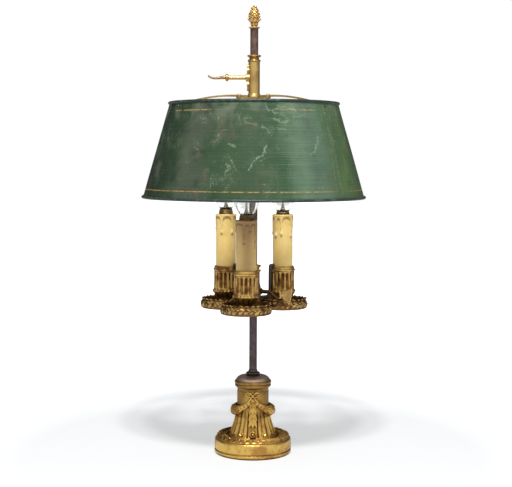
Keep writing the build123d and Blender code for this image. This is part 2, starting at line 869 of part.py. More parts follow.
def screw_axis(reach):
    """The place on the shade's wall where an arm's screw sits, +Z out through the wall."""
    height = shade_top - screw_drop
    slope = degrees(shade_slope)
    return Pos(shade_radius(height), 0, height) * Rot(0, 90 - slope, 0) * Pos(0, 0, reach)


def arm_rivets():
    """The rivets that hinge the arms on the hub's stubs."""
    low = stub_underside
    high = low + stub_thickness + arm_thickness
    rivet = turned(
        (0, low - 1.2), (2.6, low - 0.6), (2.6, low), (arm_rivet_radius, low),
        (arm_rivet_radius, high), (2.8, high), ((2.3, high + 1.5), (0, high + 1.5)),
    )
    return [outward(rivet, bearing, arm_rivet_place) for bearing in arm_bearings.values()]


def shade_screws():
    """The screws that hold the shade's wall to the arms' lugs, one solid each."""
    inner = -(shade_wall + lug_thickness + 0.25)
    screw = turned(
        (0, inner - 2.4), (2.4, inner - 2.0), (2.4, inner), (screw_radius, inner),
        (screw_radius, fit_gap), (2.6, fit_gap), ((2.2, 1.7), (0, 1.7)),
    )
    return [outward(screw_axis(0) * screw, bearing) for bearing in arm_bearings.values()]


def wall_section():
    """The sheet's section, from its lower edge to its upper edge."""
    return outline(
        (shade_bottom_radius - shade_wall, shade_bottom),
        (shade_bottom_radius, shade_bottom),
        (shade_top_radius, shade_top),
        (shade_top_radius - shade_wall, shade_top),
    )


def shade():
    """The sheet-metal cone, with the lap of its seam on the outside."""
    cone = revolve(wall_section(), Axis.Z)
    lap_low = shade_bottom + rim_wire_radius + 0.6
    lap_high = shade_top - screw_drop - 4.0
    lap = outline(
        (shade_radius(lap_low) - shade_wall / 2, lap_low),
        (shade_radius(lap_low) + lap_thickness, lap_low),
        (shade_radius(lap_high) + lap_thickness, lap_high),
        (shade_radius(lap_high) - shade_wall / 2, lap_high),
    )
    half_angle = degrees(seam_width / 2 / shade_top_radius)
    seam_bearing = arm_bearings["right"]
    cone += Rot(0, 0, seam_bearing - half_angle) * revolve(lap, Axis.Z, 2 * half_angle)
    for bearing in arm_bearings.values():
        cone -= outward(screw_axis(0) * Cylinder(screw_radius + fit_gap, 8), bearing)
    return cone


def rim_bead(height, wall_radius):
    """A wired edge: a round bead with a slot that the sheet's edge sits in."""
    middle = wall_radius + rim_overhang - shade_wall / 2
    bead = Pos(middle, 0, height) * Rot(90, 0, 0) * Circle(rim_wire_radius)
    return revolve(bead - wall_section(), Axis.Z)


# ---------------------------------------------------------------- the whole lamp
def in_place(shape, light):
    """Moves a piece that is made about its own axis to a light's place."""
    return outward(shape, lights[light], light_circle_radius)


def build():
    """All sub-parts by name. A list holds separate solids that share one name."""
    sleeve = centre_sleeve()
    parts = {
        "plinth": plinth(),
        "plinth_wreath": plinth_wreath(),
        "base_column": base_column(),
        "column_garlands": column_garlands(),
        "column_cap": column_cap(),
        "stem_collar": stem_collar(),
        "stem": stem(),
        "tie_washer": tie_washer(),
        "tie_nut": tie_nut(),
        "cord_bush": cord_bush(),
        "base_pad": base_pad(),
        "finial_dish": finial_dish(),
        "finial": finial(),
        "candle_tray": candle_tray(),
        "centre_sleeve": sleeve,
        "sleeve_collar": sleeve_collar(),
        "tray_liner": split_liner(tray_height + 2.0, sleeve_top - 0.5, 90),
        "lower_key": lower_key(),
        "carrier_sleeve": carrier_sleeve(),
        "carrier_collar": carrier_collar(),
        "carrier_boss": carrier_boss(),
        "carrier_liner": split_liner(hub_underside + 0.5, carrier_top - 0.5, 90),
        "upper_key": upper_key(),
        "spider_hub": spider_hub(),
        "arm_rivets": arm_rivets(),
        "shade_screws": shade_screws(),
        "shade": shade(),
        "shade_top_rim": rim_bead(shade_top, shade_top_radius),
        "shade_bottom_rim": rim_bead(shade_bottom, shade_bottom_radius),
    }
    for name in arm_bearings:
        parts["arm_" + name] = spider_arm(name)
    cup = candle_cup()
    for name, bearing in lights.items():
        placed_cup = in_place(cup, name)
        parts["cup_" + name] = placed_cup
        placed_tube = in_place(candle_tube(name), name)
        parts["tube_" + name] = placed_tube
        parts["holder_" + name] = in_place(lamp_holder(name), name)
        parts["bulb_" + name] = in_place(bulb_glass(name), name)
        parts["lead_" + name] = lead(bearing) - placed_cup - placed_tube - sleeve
    parts["candle_nipples"] = [in_place(candle_nipple(name), name) for name in lights]
    parts["nipple_nuts"] = [in_place(nipple_nut(), name) for name in lights]
    parts["bulb_caps"] = [in_place(bulb_cap(name), name) for name in lights]
    parts["bulb_mounts"] = [in_place(bulb_mount(name), name) for name in lights]
    return parts


def main():
    os.makedirs("parts", exist_ok=True)
    for name, shape in build().items():
        body = Compound(children=shape) if isinstance(shape, list) else shape
        export_step(body, f"parts/{name}.step")
        print(f"{name}: {len(body.solids())} solid, {body.volume:.0f} mm3")


main()
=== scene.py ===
# %% [markdown]
# # A three-light bouillotte lamp
# The lamp stands on a round gilt base. A brown stem carries a tray of three candle lights,
# and a green metal shade hangs above them on a brass spider. A clamp key holds each of the
# two groups, so both slide and turn on the stem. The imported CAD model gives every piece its
# place and size. This lesson gives the pieces their surfaces, and rebuilds the ornament
# that is finer than the CAD solids. We start by loading the frame.

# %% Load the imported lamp
import math
import random

import bmesh
import bpy
from mathutils import Matrix, Vector, noise


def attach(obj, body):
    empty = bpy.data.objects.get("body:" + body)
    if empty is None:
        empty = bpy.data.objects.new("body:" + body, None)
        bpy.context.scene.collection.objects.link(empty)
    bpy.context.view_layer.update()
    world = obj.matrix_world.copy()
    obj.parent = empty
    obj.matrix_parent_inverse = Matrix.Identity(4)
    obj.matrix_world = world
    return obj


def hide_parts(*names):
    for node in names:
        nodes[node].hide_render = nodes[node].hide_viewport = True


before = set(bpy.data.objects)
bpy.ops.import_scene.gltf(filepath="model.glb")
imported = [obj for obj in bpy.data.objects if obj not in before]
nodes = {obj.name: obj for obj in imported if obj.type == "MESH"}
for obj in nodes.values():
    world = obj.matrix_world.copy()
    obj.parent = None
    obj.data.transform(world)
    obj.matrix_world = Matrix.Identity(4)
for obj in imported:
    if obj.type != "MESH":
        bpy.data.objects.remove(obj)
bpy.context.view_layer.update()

# %% [markdown]
# ## Camera
# A picture taken from a little above the middle of the lamp shows the top of the tray and
# the front of the shade, but not its open top. A long lens keeps the upright lines nearly
# parallel. A small shift frames the lamp without a steeper tilt.

# %% Camera
lens_mm = 84.08
sensor_mm = 36.0
camera_place = Vector((0.00303, -1.6817, 0.42266))
camera_pitch = math.radians(3.067)
camera_shift = -0.05
camera_roll = math.radians(-0.23)

camera_data = bpy.data.cameras.new("camera")
camera_data.lens = lens_mm
camera_data.sensor_width = sensor_mm
camera_data.shift_y = camera_shift
camera = bpy.data.objects.new("camera", camera_data)
camera.location = camera_place
camera.rotation_euler = (math.radians(90) - camera_pitch, camera_roll, 0)
bpy.context.scene.collection.objects.link(camera)
bpy.context.scene.camera = camera
bpy.context.scene.view_settings.view_transform = "Standard"
print("camera at", tuple(round(v, 3) for v in camera_place))

# %% [markdown]
# ## Small helpers for materials
# Every finish here is a node graph. These helpers make a material with one Principled BSDF,
# add a node with its values, and mix two colours by a mask. A colour is written as the
# eye sees it on a screen, from 0 to 255, and is changed to the linear values that the
# shader works with.

# %% Material helpers
def screen(red, green, blue):
    """A screen colour as a linear RGBA tuple."""
    linear = []
    for channel in (red, green, blue):
        share = channel / 255
        linear.append(share / 12.92 if share <= 0.04045 else ((share + 0.055) / 1.055) ** 2.4)
    return (*linear, 1.0)


class Graph:
    """Adds nodes to one node tree and joins them as they are made."""

    def __init__(self, tree):
        self.tree = tree

    def put(self, socket, value):
        """Sets an input to a plain value, or links an output to it."""
        if isinstance(value, bpy.types.NodeSocket):
            self.tree.links.new(value, socket)
        else:
            socket.default_value = value

    def fill(self, inputs, values):
        for name, value in values.items():
            self.put(inputs[name], value)

    def add(self, kind, inputs=None, **settings):
        node = self.tree.nodes.new(kind)
        for name, value in settings.items():
            setattr(node, name, value)
        self.fill(node.inputs, inputs or {})
        return node

    def math(self, operation, *values, clamp=False):
        numbered = dict(enumerate(values))
        return self.add("ShaderNodeMath", numbered, operation=operation, use_clamp=clamp).outputs[0]

    def plus(self, first, second):
        return self.math("ADD", first, second)

    def minus(self, first, second):
        return self.math("SUBTRACT", first, second)

    def times(self, first, second):
        return self.math("MULTIPLY", first, second)

    def either(self, first, second):
        """The stronger of two masks."""
        return self.math("MAXIMUM", first, second)

    def near(self, value, target, reach):
        """1 at the target, and 0 from the reach on."""
        distance = self.math("ABSOLUTE", self.minus(value, target))
        return self.math("SUBTRACT", 1.0, self.math("DIVIDE", distance, reach), clamp=True)

    def span(self, value, low, high, to_low=0.0, to_high=1.0, smooth=False):
        """Maps a value from one span to another, and stops at its ends."""
        limits = {"Value": value, "From Min": low, "From Max": high, "To Min": to_low, "To Max": to_high}
        kind = "SMOOTHSTEP" if smooth else "LINEAR"
        return self.add("ShaderNodeMapRange", limits, interpolation_type=kind).outputs["Result"]

    def mix(self, mask, first, second):
        """The first colour at mask 0 and the second at mask 1."""
        return self.add("ShaderNodeMix", {0: mask, 6: first, 7: second}, data_type="RGBA").outputs[2]

    def vector(self, operation, *values, output="Vector"):
        return self.add("ShaderNodeVectorMath", dict(enumerate(values)), operation=operation).outputs[output]

    def scaled(self, vector, factor):
        node = self.add("ShaderNodeVectorMath", {0: vector, "Scale": factor}, operation="SCALE")
        return node.outputs["Vector"]

    def stretch(self, vector, scale):
        """The coordinates made finer or coarser along each axis."""
        return self.add("ShaderNodeMapping", {"Vector": vector, "Scale": scale}).outputs["Vector"]

    def axes(self, vector):
        return self.add("ShaderNodeSeparateXYZ", {"Vector": vector}).outputs

    def object_place(self):
        return self.add("ShaderNodeTexCoord").outputs["Object"]

    def attribute(self, name):
        return self.add("ShaderNodeAttribute", attribute_name=name).outputs["Fac"]

    def noise(self, vector, scale, detail=3.0, roughness=0.55, distortion=0.0):
        return self.add("ShaderNodeTexNoise", {
            "Vector": vector, "Scale": scale, "Detail": detail, "Roughness": roughness,
            "Distortion": distortion}).outputs["Fac"]

    def bump(self, height, distance):
        return self.add("ShaderNodeBump", {"Height": height, "Distance": distance}).outputs["Normal"]


def new_material(name):
    """A material with a Principled BSDF, the graph that feeds it, and its inputs."""
    material = bpy.data.materials.new(name)
    material.use_nodes = True
    return material, Graph(material.node_tree), material.node_tree.nodes["Principled BSDF"].inputs


def new_group(name, inputs, outputs):
    """An empty shader group with sockets named by kind, its graph, and its two ends."""
    tree = bpy.data.node_groups.new(name, "ShaderNodeTree")
    for in_out, kinds in (("INPUT", inputs), ("OUTPUT", outputs)):
        for kind, labels in kinds.items():
            for label in labels:
                tree.interface.new_socket(label, in_out=in_out, socket_type="NodeSocket" + kind)
    graph = Graph(tree)
    return tree, graph, graph.add("NodeGroupInput").outputs, graph.add("NodeGroupOutput").inputs


print("helpers ready; screen grey 188 is linear", round(screen(188, 188, 188)[0], 3))

# %% [markdown]
# ## Floor, light and surroundings
# The lamp stands on a white floor that runs up to a white distance. Two soft lamps high in
# front, one each side, throw the ring-shaped shadows of the shade on the floor behind. The
# floor and the surroundings add some white of their own only where the camera looks at
# them, so the object isn't lit more. Polished metal is only as lively as what it mirrors,
# so in reflections the surroundings are bright in front and dim at the back and the sides.

# %% Floor
floor_half = 9.0
shadow_reach, white_reach = 0.32, 1.05      # from the lamp's axis, in metres

floor_mesh = bpy.data.meshes.new("floor")
bm = bmesh.new()
bmesh.ops.create_grid(bm, x_segments=1, y_segments=1, size=floor_half)
bm.to_mesh(floor_mesh)
bm.free()
floor = bpy.data.objects.new("floor", floor_mesh)
bpy.context.scene.collection.objects.link(floor)


def seen_directly(g):
    """1 where the camera looks, also through glass."""
    rays = g.add("ShaderNodeLightPath").outputs
    return g.either(rays["Is Camera Ray"], rays["Is Transmission Ray"])


floor_material, g, inputs = new_material("white_floor")
seen = seen_directly(g)
from_axis = g.vector("LENGTH", g.object_place(), output="Value")
g.fill(inputs, {
    "Base Color": g.mix(seen, screen(236, 237, 238), screen(184, 185, 186)),
    "Roughness": 0.7, "Specular IOR Level": 0.1, "Emission Color": (0.975, 0.99, 1, 1),
    "Emission Strength": g.times(seen, g.span(from_axis, shadow_reach, white_reach, 0.45, 1.32))})
floor_mesh.materials.append(floor_material)
print("floor", 2 * floor_half, "m wide")

# %% Lamps
key_power = 20.0
key_distance = 2.0
key_elevation = math.radians(60.5)
key_bearings = {"left": math.radians(-5), "right": math.radians(5.5)}
key_size = 0.15
key_target = Vector((0, 0, 0.3))

for side, bearing in key_bearings.items():
    lamp_data = bpy.data.lights.new("key_" + side, "AREA")
    lamp_data.energy = key_power
    lamp_data.shape = "DISK"
    lamp_data.size = key_size
    lamp = bpy.data.objects.new("key_" + side, lamp_data)
    towards = Vector((math.sin(bearing) * math.cos(key_elevation),
                      -math.cos(bearing) * math.cos(key_elevation), math.sin(key_elevation)))
    lamp.location = key_target + towards * key_distance
    lamp.rotation_euler = towards.to_track_quat("Z", "Y").to_euler()
    bpy.context.scene.collection.objects.link(lamp)
print("lamps:", [light.name for light in bpy.data.lights])

# %% Surroundings
world = bpy.data.worlds.new("studio")
world.use_nodes = True
bpy.context.scene.world = world
g = Graph(world.node_tree)
direction = g.axes(g.add("ShaderNodeTexCoord").outputs["Generated"])
frontness = g.span(direction["Y"], 0.35, -0.75, 0.10, 0.95, smooth=True)
mirrored = g.plus(frontness, g.span(direction["Z"], 0.5, 1.0, 0.0, 0.35, smooth=True))
low_band = g.span(direction["Z"], 0.62, 0.12, smooth=True)
sideways = g.span(g.math("ABSOLUTE", direction["X"]), 0.35, 0.9, 0.75, 1.35, smooth=True)
soft = g.plus(0.26, g.times(low_band, sideways))
fill = g.mix(g.add("ShaderNodeLightPath").outputs["Is Glossy Ray"], soft, mirrored)
g.fill(world.node_tree.nodes["Background"].inputs, {
    "Color": g.mix(seen_directly(g), fill, (1, 1, 1, 1)), "Strength": 1.0})
print("surroundings:", world.name)

# %% [markdown]
# ## Patina
# Cast and gilt metal is never one colour. Brown patina stays in the hollows, where no
# cloth reaches, and the edges are rubbed bright. One group makes both. It finds the small
# hollows with Ambient Occlusion, takes the carved ones from an attribute that also holds
# painted shade, and lays uneven tarnish over the rest.

# %% Patina group
patina_group, g, given, made = new_group(
    "patina",
    {"Color": ["Bright", "Tarnished", "Hollow And Shade"],
     "Float": ["Hollow Size", "Tarnish Scale", "Tarnish Amount", "Polished", "Dulled", "Carved And Shaded"]},
    {"Color": ["Color"], "Float": ["Roughness", "Height"]})
place = g.object_place()
openness = g.add("ShaderNodeAmbientOcclusion", {"Distance": given["Hollow Size"]},
                 samples=6, only_local=False).outputs["AO"]
blotches = g.noise(place, given["Tarnish Scale"], detail=4, roughness=0.6)
fine = g.noise(place, 900.0, detail=2)
stained = g.times(g.span(blotches, 0.42, 0.66, smooth=True), given["Tarnish Amount"])
open_part = g.span(g.plus(openness, g.times(fine, 0.12)), 0.42, 0.92, smooth=True)
# This input also brings painted shade from the column's drum and from the cups.
carved_and_shaded = g.times(given["Carved And Shaded"], g.span(fine, 0.2, 0.6, 0.8, 1.0))
hollow_and_shade = g.either(g.minus(1.0, open_part), carved_and_shaded)
dull = g.plus(g.either(stained, hollow_and_shade), g.times(fine, 0.2))
g.fill(made, {
    "Color": g.mix(hollow_and_shade, g.mix(stained, given["Bright"], given["Tarnished"]), given["Hollow And Shade"]),
    "Roughness": g.span(dull, 0.0, 1.1, given["Polished"], given["Dulled"]),
    "Height": g.plus(g.times(blotches, 0.5), g.times(fine, 0.5))})


def patinated(name, bright, tarnished, hollow_and_shade, size=0.005, scale=60.0, amount=0.5,
              polished=0.28, dulled=0.55, metallic=1.0, relief=0.00006):
    """A metal finish from the patina group."""
    material, g, inputs = new_material(name)
    surface = g.add("ShaderNodeGroup", {
        "Bright": screen(*bright), "Tarnished": screen(*tarnished), "Hollow And Shade": screen(*hollow_and_shade),
        "Hollow Size": size, "Tarnish Scale": scale, "Tarnish Amount": amount,
        "Polished": polished, "Dulled": dulled, "Carved And Shaded": g.attribute("hollow_and_shade")},
        node_tree=patina_group).outputs
    g.fill(inputs, {"Base Color": surface["Color"], "Roughness": surface["Roughness"],
                    "Normal": g.bump(surface["Height"], relief), "Metallic": metallic})
    return material


def graded(material, low, high, below, above):
    """Changes a finish's bright colour from one height to another, in metres."""
    g = Graph(material.node_tree)
    rise = g.span(g.axes(g.object_place())["Z"], low, high, smooth=True)
    g.put(material.node_tree.nodes["Group"].inputs["Bright"], g.mix(rise, screen(*below), screen(*above)))


print("effect group:", patina_group.name)

# %% [markdown]
# ## Gilt bronze
# The base, the cups and the tray are gilt bronze. Each casting has worn in its own way: the
# base is bright, the cap and the sleeve have turned brown, and the shell is rubbed by
# fingers.

# %% Gilt finishes
gilt = patinated("gilt_bronze", (220, 182, 98), (160, 112, 60), (70, 42, 22), scale=55, amount=0.75,
                 dulled=0.6, relief=0.00012)
gilt_column = patinated("gilt_bronze_column", (212, 172, 92), (150, 104, 56), (62, 38, 22), scale=60,
                        amount=0.8, dulled=0.6, relief=0.00012)
gilt_cap = patinated("gilt_bronze_cap", (162, 126, 68), (116, 88, 62), (50, 36, 28), scale=40, amount=0.7,
                     polished=0.34, dulled=0.6)
graded(gilt_cap, 0.1015, 0.106, (162, 126, 68), (214, 190, 172))
gilt_pan = patinated("gilt_bronze_pans", (208, 174, 110), (110, 74, 48), (58, 38, 26), size=0.0035,
                     scale=110, amount=1.0, polished=0.34, dulled=0.62)
gilt_finial = patinated("gilt_bronze_finial", (232, 192, 122), (196, 148, 84), (48, 28, 14), size=0.0022,
                        scale=90, amount=0.5)
gilt_wreath = patinated("gilt_bronze_wreath", (208, 168, 90), (128, 88, 50), (90, 58, 30), scale=90,
                        amount=0.9, polished=0.32, dulled=0.6, relief=0.0001)
gilt_dark = patinated("gilt_bronze_dulled", (182, 160, 134), (128, 108, 94), (58, 44, 38), scale=70,
                      amount=0.8, polished=0.36, dulled=0.62)
gilt_ground = patinated("gilt_bronze_ground", (128, 94, 54), (84, 54, 36), (38, 24, 16), size=0.008,
                        scale=80, amount=0.8, polished=0.4, dulled=0.65)
gilt_cup = patinated("gilt_bronze_cups", (216, 178, 104), (128, 84, 50), (84, 48, 32), size=0.003,
                     scale=75, amount=0.95, polished=0.3, dulled=0.6)
gilt_bright = patinated("gilt_bronze_rubbed", (252, 218, 146), (240, 196, 120), (150, 100, 56), size=0.002,
                        scale=70, amount=0.4, polished=0.42, dulled=0.6, metallic=0.65)
print("gilt finishes:", [m.name for m in bpy.data.materials if m.name.startswith("gilt")])

# %% [markdown]
# ## Brass, steel and alloy
# The shade's carrier, its arms and the upper key are plain turned brass with a satin polish.
# The stem is a browned tube, lighter towards its top. The lamp holders are
# brass too, and a Wave texture cuts their threads.

# %% Other metals
brass = patinated("satin_brass", (206, 174, 112), (156, 118, 72), (66, 42, 20), size=0.003, scale=50,
                  amount=0.5, polished=0.36, dulled=0.55)
brass_sleeve = patinated("satin_brass_sleeve", (206, 174, 110), (160, 128, 84), (70, 48, 28), size=0.003,
                         scale=45, amount=0.85, polished=0.4, dulled=0.6)
brass_raw = patinated("raw_brass", (190, 156, 92), (130, 96, 54), (60, 42, 24), scale=80, amount=0.6)
stem_patina = patinated("browned_stem", (88, 76, 78), (62, 50, 50), (34, 28, 28), scale=120, amount=0.7,
                        polished=0.32, dulled=0.5, metallic=0.7)
graded(stem_patina, 0.25, 0.55, (88, 76, 78), (124, 98, 86))
blackened = patinated("blackened_collar", (86, 80, 72), (50, 46, 44), (26, 24, 22), scale=90, amount=0.6,
                      polished=0.3, dulled=0.5, metallic=0.8)
holder_brown = patinated("aged_holder", (156, 132, 92), (100, 80, 54), (42, 32, 22), scale=150, amount=0.8,
                         polished=0.35, dulled=0.6)
g = Graph(holder_brown.node_tree)
threads = g.add("ShaderNodeTexWave", {"Vector": g.object_place(), "Scale": 145.0}, bands_direction="Z")
g.fill(holder_brown.node_tree.nodes["Bump"].inputs, {"Height": threads.outputs["Fac"], "Distance": 0.0009})
alloy = patinated("bulb_cap_alloy", (190, 188, 182), (150, 146, 140), (70, 68, 66), scale=200, amount=0.4)
wire = patinated("bulb_wire", (186, 176, 160), (150, 138, 122), (110, 98, 84), scale=300, amount=0.5,
                 metallic=0.4)
print("finishes so far:", len(bpy.data.materials))

# %% [markdown]
# ## Wax, glass, flex and baize
# The candle sleeves are cream card tubes dipped in wax. The bulbs are clear glass, a
# closed thin wall that bends little light. The leads are covered flex, and the pad under
# the base is green baize.

# %% Wax and glass
wax, g, inputs = new_material("candle_wax")
place = g.object_place()
cloudy = g.noise(place, 55.0, detail=3)
cream = g.mix(g.span(cloudy, 0.35, 0.7, smooth=True), screen(228, 198, 122), screen(219, 186, 106))
# Soot on the front sleeve, with painted shade down its middle.
cream = g.mix(g.attribute("soot_and_shade"), cream, screen(146, 112, 62))
# Drops are painted paler: a painted highlight.
cream = g.mix(g.attribute("drop"), cream, screen(246, 220, 160))
g.fill(inputs, {
    # The stain colour here is painted shadow below the wax coat and under the drops.
    "Base Color": g.mix(g.times(g.attribute("painted_shadow"), 0.92), cream, screen(96, 62, 26)),
    "Roughness": g.span(cloudy, 0.3, 0.7, 0.34, 0.48),
    "Normal": g.bump(g.noise(place, 420.0, detail=2), 0.00008),
    "Coat Weight": 0.25, "Coat Roughness": 0.3})

glass, g, inputs = new_material("clear_bulb_glass")
dust = g.noise(g.object_place(), 90.0, detail=2)
g.fill(inputs, {"Base Color": (0.86, 0.87, 0.86, 1), "Transmission Weight": 1.0, "IOR": 1.45,
                "Roughness": g.span(dust, 0.4, 0.8, 0.01, 0.05)})
print("finishes:", wax.name, glass.name)

# %% Flex, bush, baize and enamel
flex, g, inputs = new_material("covered_flex")
weave = g.noise(g.stretch(g.object_place(), (1, 1, 0.4)), 1100.0, detail=1)
g.fill(inputs, {"Base Color": g.mix(weave, screen(40, 36, 36), screen(82, 74, 72)), "Roughness": 0.55,
                "Normal": g.bump(weave, 0.0002)})

bush_black, g, inputs = new_material("moulded_black")
grain = g.noise(g.object_place(), 700.0)
g.fill(inputs, {"Base Color": g.mix(grain, screen(26, 26, 28), screen(44, 43, 42)),
                "Roughness": g.span(grain, 0.3, 0.7, 0.4, 0.6)})

baize, g, inputs = new_material("green_baize")
nap = g.noise(g.object_place(), 1500.0, detail=4)
g.fill(inputs, {"Base Color": g.mix(nap, screen(34, 74, 48), screen(66, 112, 74)), "Roughness": 0.95,
                "Sheen Weight": 0.3, "Normal": g.bump(nap, 0.0003)})

enamel, g, inputs = new_material("rim_enamel")
worn = g.noise(g.object_place(), 140.0, detail=4)
g.fill(inputs, {"Base Color": g.mix(g.span(worn, 0.5, 0.75), screen(34, 50, 40), screen(78, 92, 76)),
                "Roughness": g.span(worn, 0.3, 0.8, 0.32, 0.6)})

shade_inside, g, inputs = new_material("inside_enamel")
place = g.object_place()
aged = g.noise(place, 22.0, detail=4)
yellowed = g.span(aged, 0.35, 0.7, smooth=True)
g.fill(inputs, {"Base Color": g.mix(yellowed, screen(222, 216, 198), screen(196, 186, 160)),
                "Roughness": g.span(aged, 0.3, 0.8, 0.35, 0.55),
                "Normal": g.bump(g.noise(place, 260.0, detail=2), 0.00005)})
print("finishes:", flex.name, bush_black.name, baize.name, enamel.name, shade_inside.name)

# %% [markdown]
# ## The shade's paint
# The shade is japanned sheet: green paint brushed round the cone, rubbed grey where hands
# and cloths reached it, with a gold line near each edge. The bottom line is nearly whole
# and the top line is mostly lost. A spot on the cone is given as millimetres round it from
# the front, and height in millimetres. One group draws a broken scratch between two spots.

# %% Scratch group
scratch_group, g, given, made = new_group(
    "scratch", {"Vector": ["Spot", "From", "To"], "Float": ["Width", "Broken"]}, {"Float": ["Mask"]})
to_spot = g.vector("SUBTRACT", given["Spot"], given["From"])
to_end = g.vector("SUBTRACT", given["To"], given["From"])
along = g.math("DIVIDE", g.vector("DOT_PRODUCT", to_spot, to_end, output="Value"),
               g.vector("DOT_PRODUCT", to_end, to_end, output="Value"), clamp=True)
ragged = g.noise(given["Spot"], 0.45, detail=4, roughness=0.7)
distance = g.plus(g.vector("DISTANCE", to_spot, g.scaled(to_end, along), output="Value"),
                  g.times(g.minus(ragged, 0.5), 4.0))
line = g.math("SUBTRACT", 1.0, g.math("DIVIDE", distance, given["Width"]), clamp=True)
gaps = g.span(g.noise(given["Spot"], 0.9, detail=3), 0.38, 0.58)
kept = g.minus(1.0, g.times(given["Broken"], g.minus(1.0, gaps)))
g.put(made["Mask"], g.math("MULTIPLY", line, kept, clamp=True))
print("scratch group ready")

# %% [markdown]
# ## Paint layers
# The ground colour follows the bearing. The paint has faded and been rubbed in upright
# bands, and the bands also hold a painted sheen right of the front and painted shade
# towards the sides. Over it lie clouds, brush lines, the scratches, rust and the gold lines.
# Bearings are degrees from the front here, and to the right of it they are positive.

# %% Places on the cone
mm_per_degree = 2.37      # round the middle of the cone
sway_mm = 13.0            # how far the scratches bend

shade_green, g, inputs = new_material("japanned_green")
place = g.object_place()
axes = g.axes(place)
bearing = g.times(g.math("ARCTAN2", axes["X"], g.times(axes["Y"], -1.0)), 180 / math.pi)
height = g.times(axes["Z"], 1000.0)
spot = g.add("ShaderNodeCombineXYZ", {"X": g.times(bearing, mm_per_degree), "Y": height}).outputs["Vector"]
sway = g.add("ShaderNodeTexNoise", {"Vector": spot, "Scale": 0.11, "Detail": 3.0}).outputs["Color"]
bent_spot = g.vector("ADD", spot, g.scaled(g.vector("SUBTRACT", sway, (0.5, 0.5, 0.5)), sway_mm))
print("spots are bent by up to", sway_mm / 2, "mm")

# %% Ground colour
broad = g.noise(g.stretch(place, (1, 1, 0.55)), 16.0, detail=4, roughness=0.6)
cloud = g.noise(place, 38.0, detail=5, roughness=0.65)
drifting = g.plus(bearing, g.times(g.minus(broad, 0.5), 26.0))
ground_sheen_and_shade = g.add("ShaderNodeValToRGB", {"Fac": g.span(drifting, -180, 180)})
# Faded and rubbed paint, with a painted sheen from about 19 to 40 degrees right of the front and painted
# shade towards the sides.
bands = [(-180, (40, 66, 42)), (-100, (20, 34, 22)), (-74, (26, 40, 26)), (-60, (32, 50, 32)),
         (-46, (38, 56, 36)), (-39, (66, 76, 60)), (-30, (62, 72, 56)), (-23, (42, 66, 40)),
         (-6, (43, 66, 38)), (6, (38, 65, 38)), (13, (44, 74, 46)), (19, (74, 98, 74)),
         (24, (87, 111, 88)), (33, (76, 98, 80)), (40, (80, 104, 82)), (50, (66, 92, 60)),
         (62, (72, 96, 58)), (74, (58, 80, 50)), (100, (36, 58, 34)), (180, (40, 66, 42))]
elements = ground_sheen_and_shade.color_ramp.elements
while len(elements) < len(bands):
    elements.new(0.5)
for element, (degrees, colour) in zip(elements, bands):
    element.position = (degrees + 180) / 360
    element.color = screen(*colour)
print(len(bands), "bands of paint")

# %% Clouds and brush lines
patches = g.noise(g.stretch(spot, (1, 0.7, 1)), 0.03, detail=5, roughness=0.6, distortion=0.8)
brushed = g.noise(g.stretch(place, (10, 10, 1300)), 1.0, detail=4, roughness=0.7)
# The pale brush lines show most in the painted sheen, right of the front.
sheen_band = g.times(g.span(bearing, 8, 20, smooth=True), g.span(bearing, 48, 36, smooth=True))
pale_cloud = g.span(cloud, 0.50, 0.70, 0.0, 0.5, smooth=True)
dark_cloud = g.times(g.span(cloud, 0.47, 0.30, 0.0, 0.6, smooth=True), g.span(bearing, 12, 20, 1.0, 0.35))
brown_patch = g.times(g.span(patches, 0.54, 0.66, smooth=True), g.span(bearing, 4, -22, 0.15, 0.6))
lime_patch = g.times(g.span(patches, 0.46, 0.36, smooth=True), g.span(bearing, 44, 54, 0.0, 0.26))
rubbed = g.times(g.span(height, 462, 478, smooth=True), g.span(patches, 0.44, 0.58, smooth=True))
pale_line = g.times(g.span(brushed, 0.5, 0.66), g.plus(0.1, g.times(sheen_band, 0.3)))
dark_line = g.times(g.span(brushed, 0.48, 0.34), 0.22)
tone = ground_sheen_and_shade.outputs["Color"]
for mask, colour in ((pale_cloud, (76, 92, 66)), (dark_cloud, (24, 46, 26)), (brown_patch, (84, 80, 66)),
                     (lime_patch, (96, 118, 58)), (g.times(rubbed, 0.4), (104, 116, 98)),
                     (pale_line, (112, 132, 112)), (dark_line, (20, 40, 24))):
    tone = g.mix(mask, tone, screen(*colour))
print("clouds and brush lines laid")

# %% Scratches and rust
scratches = [((-2.9, 403), (2.1, 417.5), 2.0, 0.3), ((2.1, 417.5), (5.5, 423.5), 1.9, 0.25),
             ((5.5, 423.5), (6.8, 433), 2.3, 0.4), ((-14.9, 413), (-14.4, 407), 1.5, 0.6),
             ((-13.3, 407.5), (-14.9, 387), 2.0, 0.6), ((-11.6, 414), (-9.4, 406), 1.3, 0.9),
             ((-21.7, 439), (-20.1, 450), 1.1, 1.0), ((-20.1, 450), (-14.7, 453), 1.5, 1.0),
             ((-15.1, 436), (-9.6, 431), 2.2, 1.0), ((5.0, 458), (9.6, 449), 1.5, 1.0),
             ((13.4, 458), (19.2, 453), 1.5, 1.0), ((15.0, 487), (27.0, 480), 2.0, 0.9),
             ((9.0, 469), (20.0, 464), 2.2, 0.9), ((7.5, 484), (14.4, 476), 1.9, 1.0),
             ((14.4, 476), (21.6, 466), 1.5, 1.0), ((6.0, 477), (19.0, 485), 1.3, 1.0),
             ((24.0, 470), (33.0, 474), 1.8, 1.0), ((33.4, 420), (41.0, 445), 2.2, 1.0),
             ((-36.0, 434), (-32.0, 426), 1.8, 1.0)]
rust_strokes = [((54.6, 480), (49.4, 366), 1.6, 0.5), ((51.0, 470), (46.6, 374), 1.5, 0.5),
                ((-4.5, 465), (0.8, 460), 3.0, 0.5)]


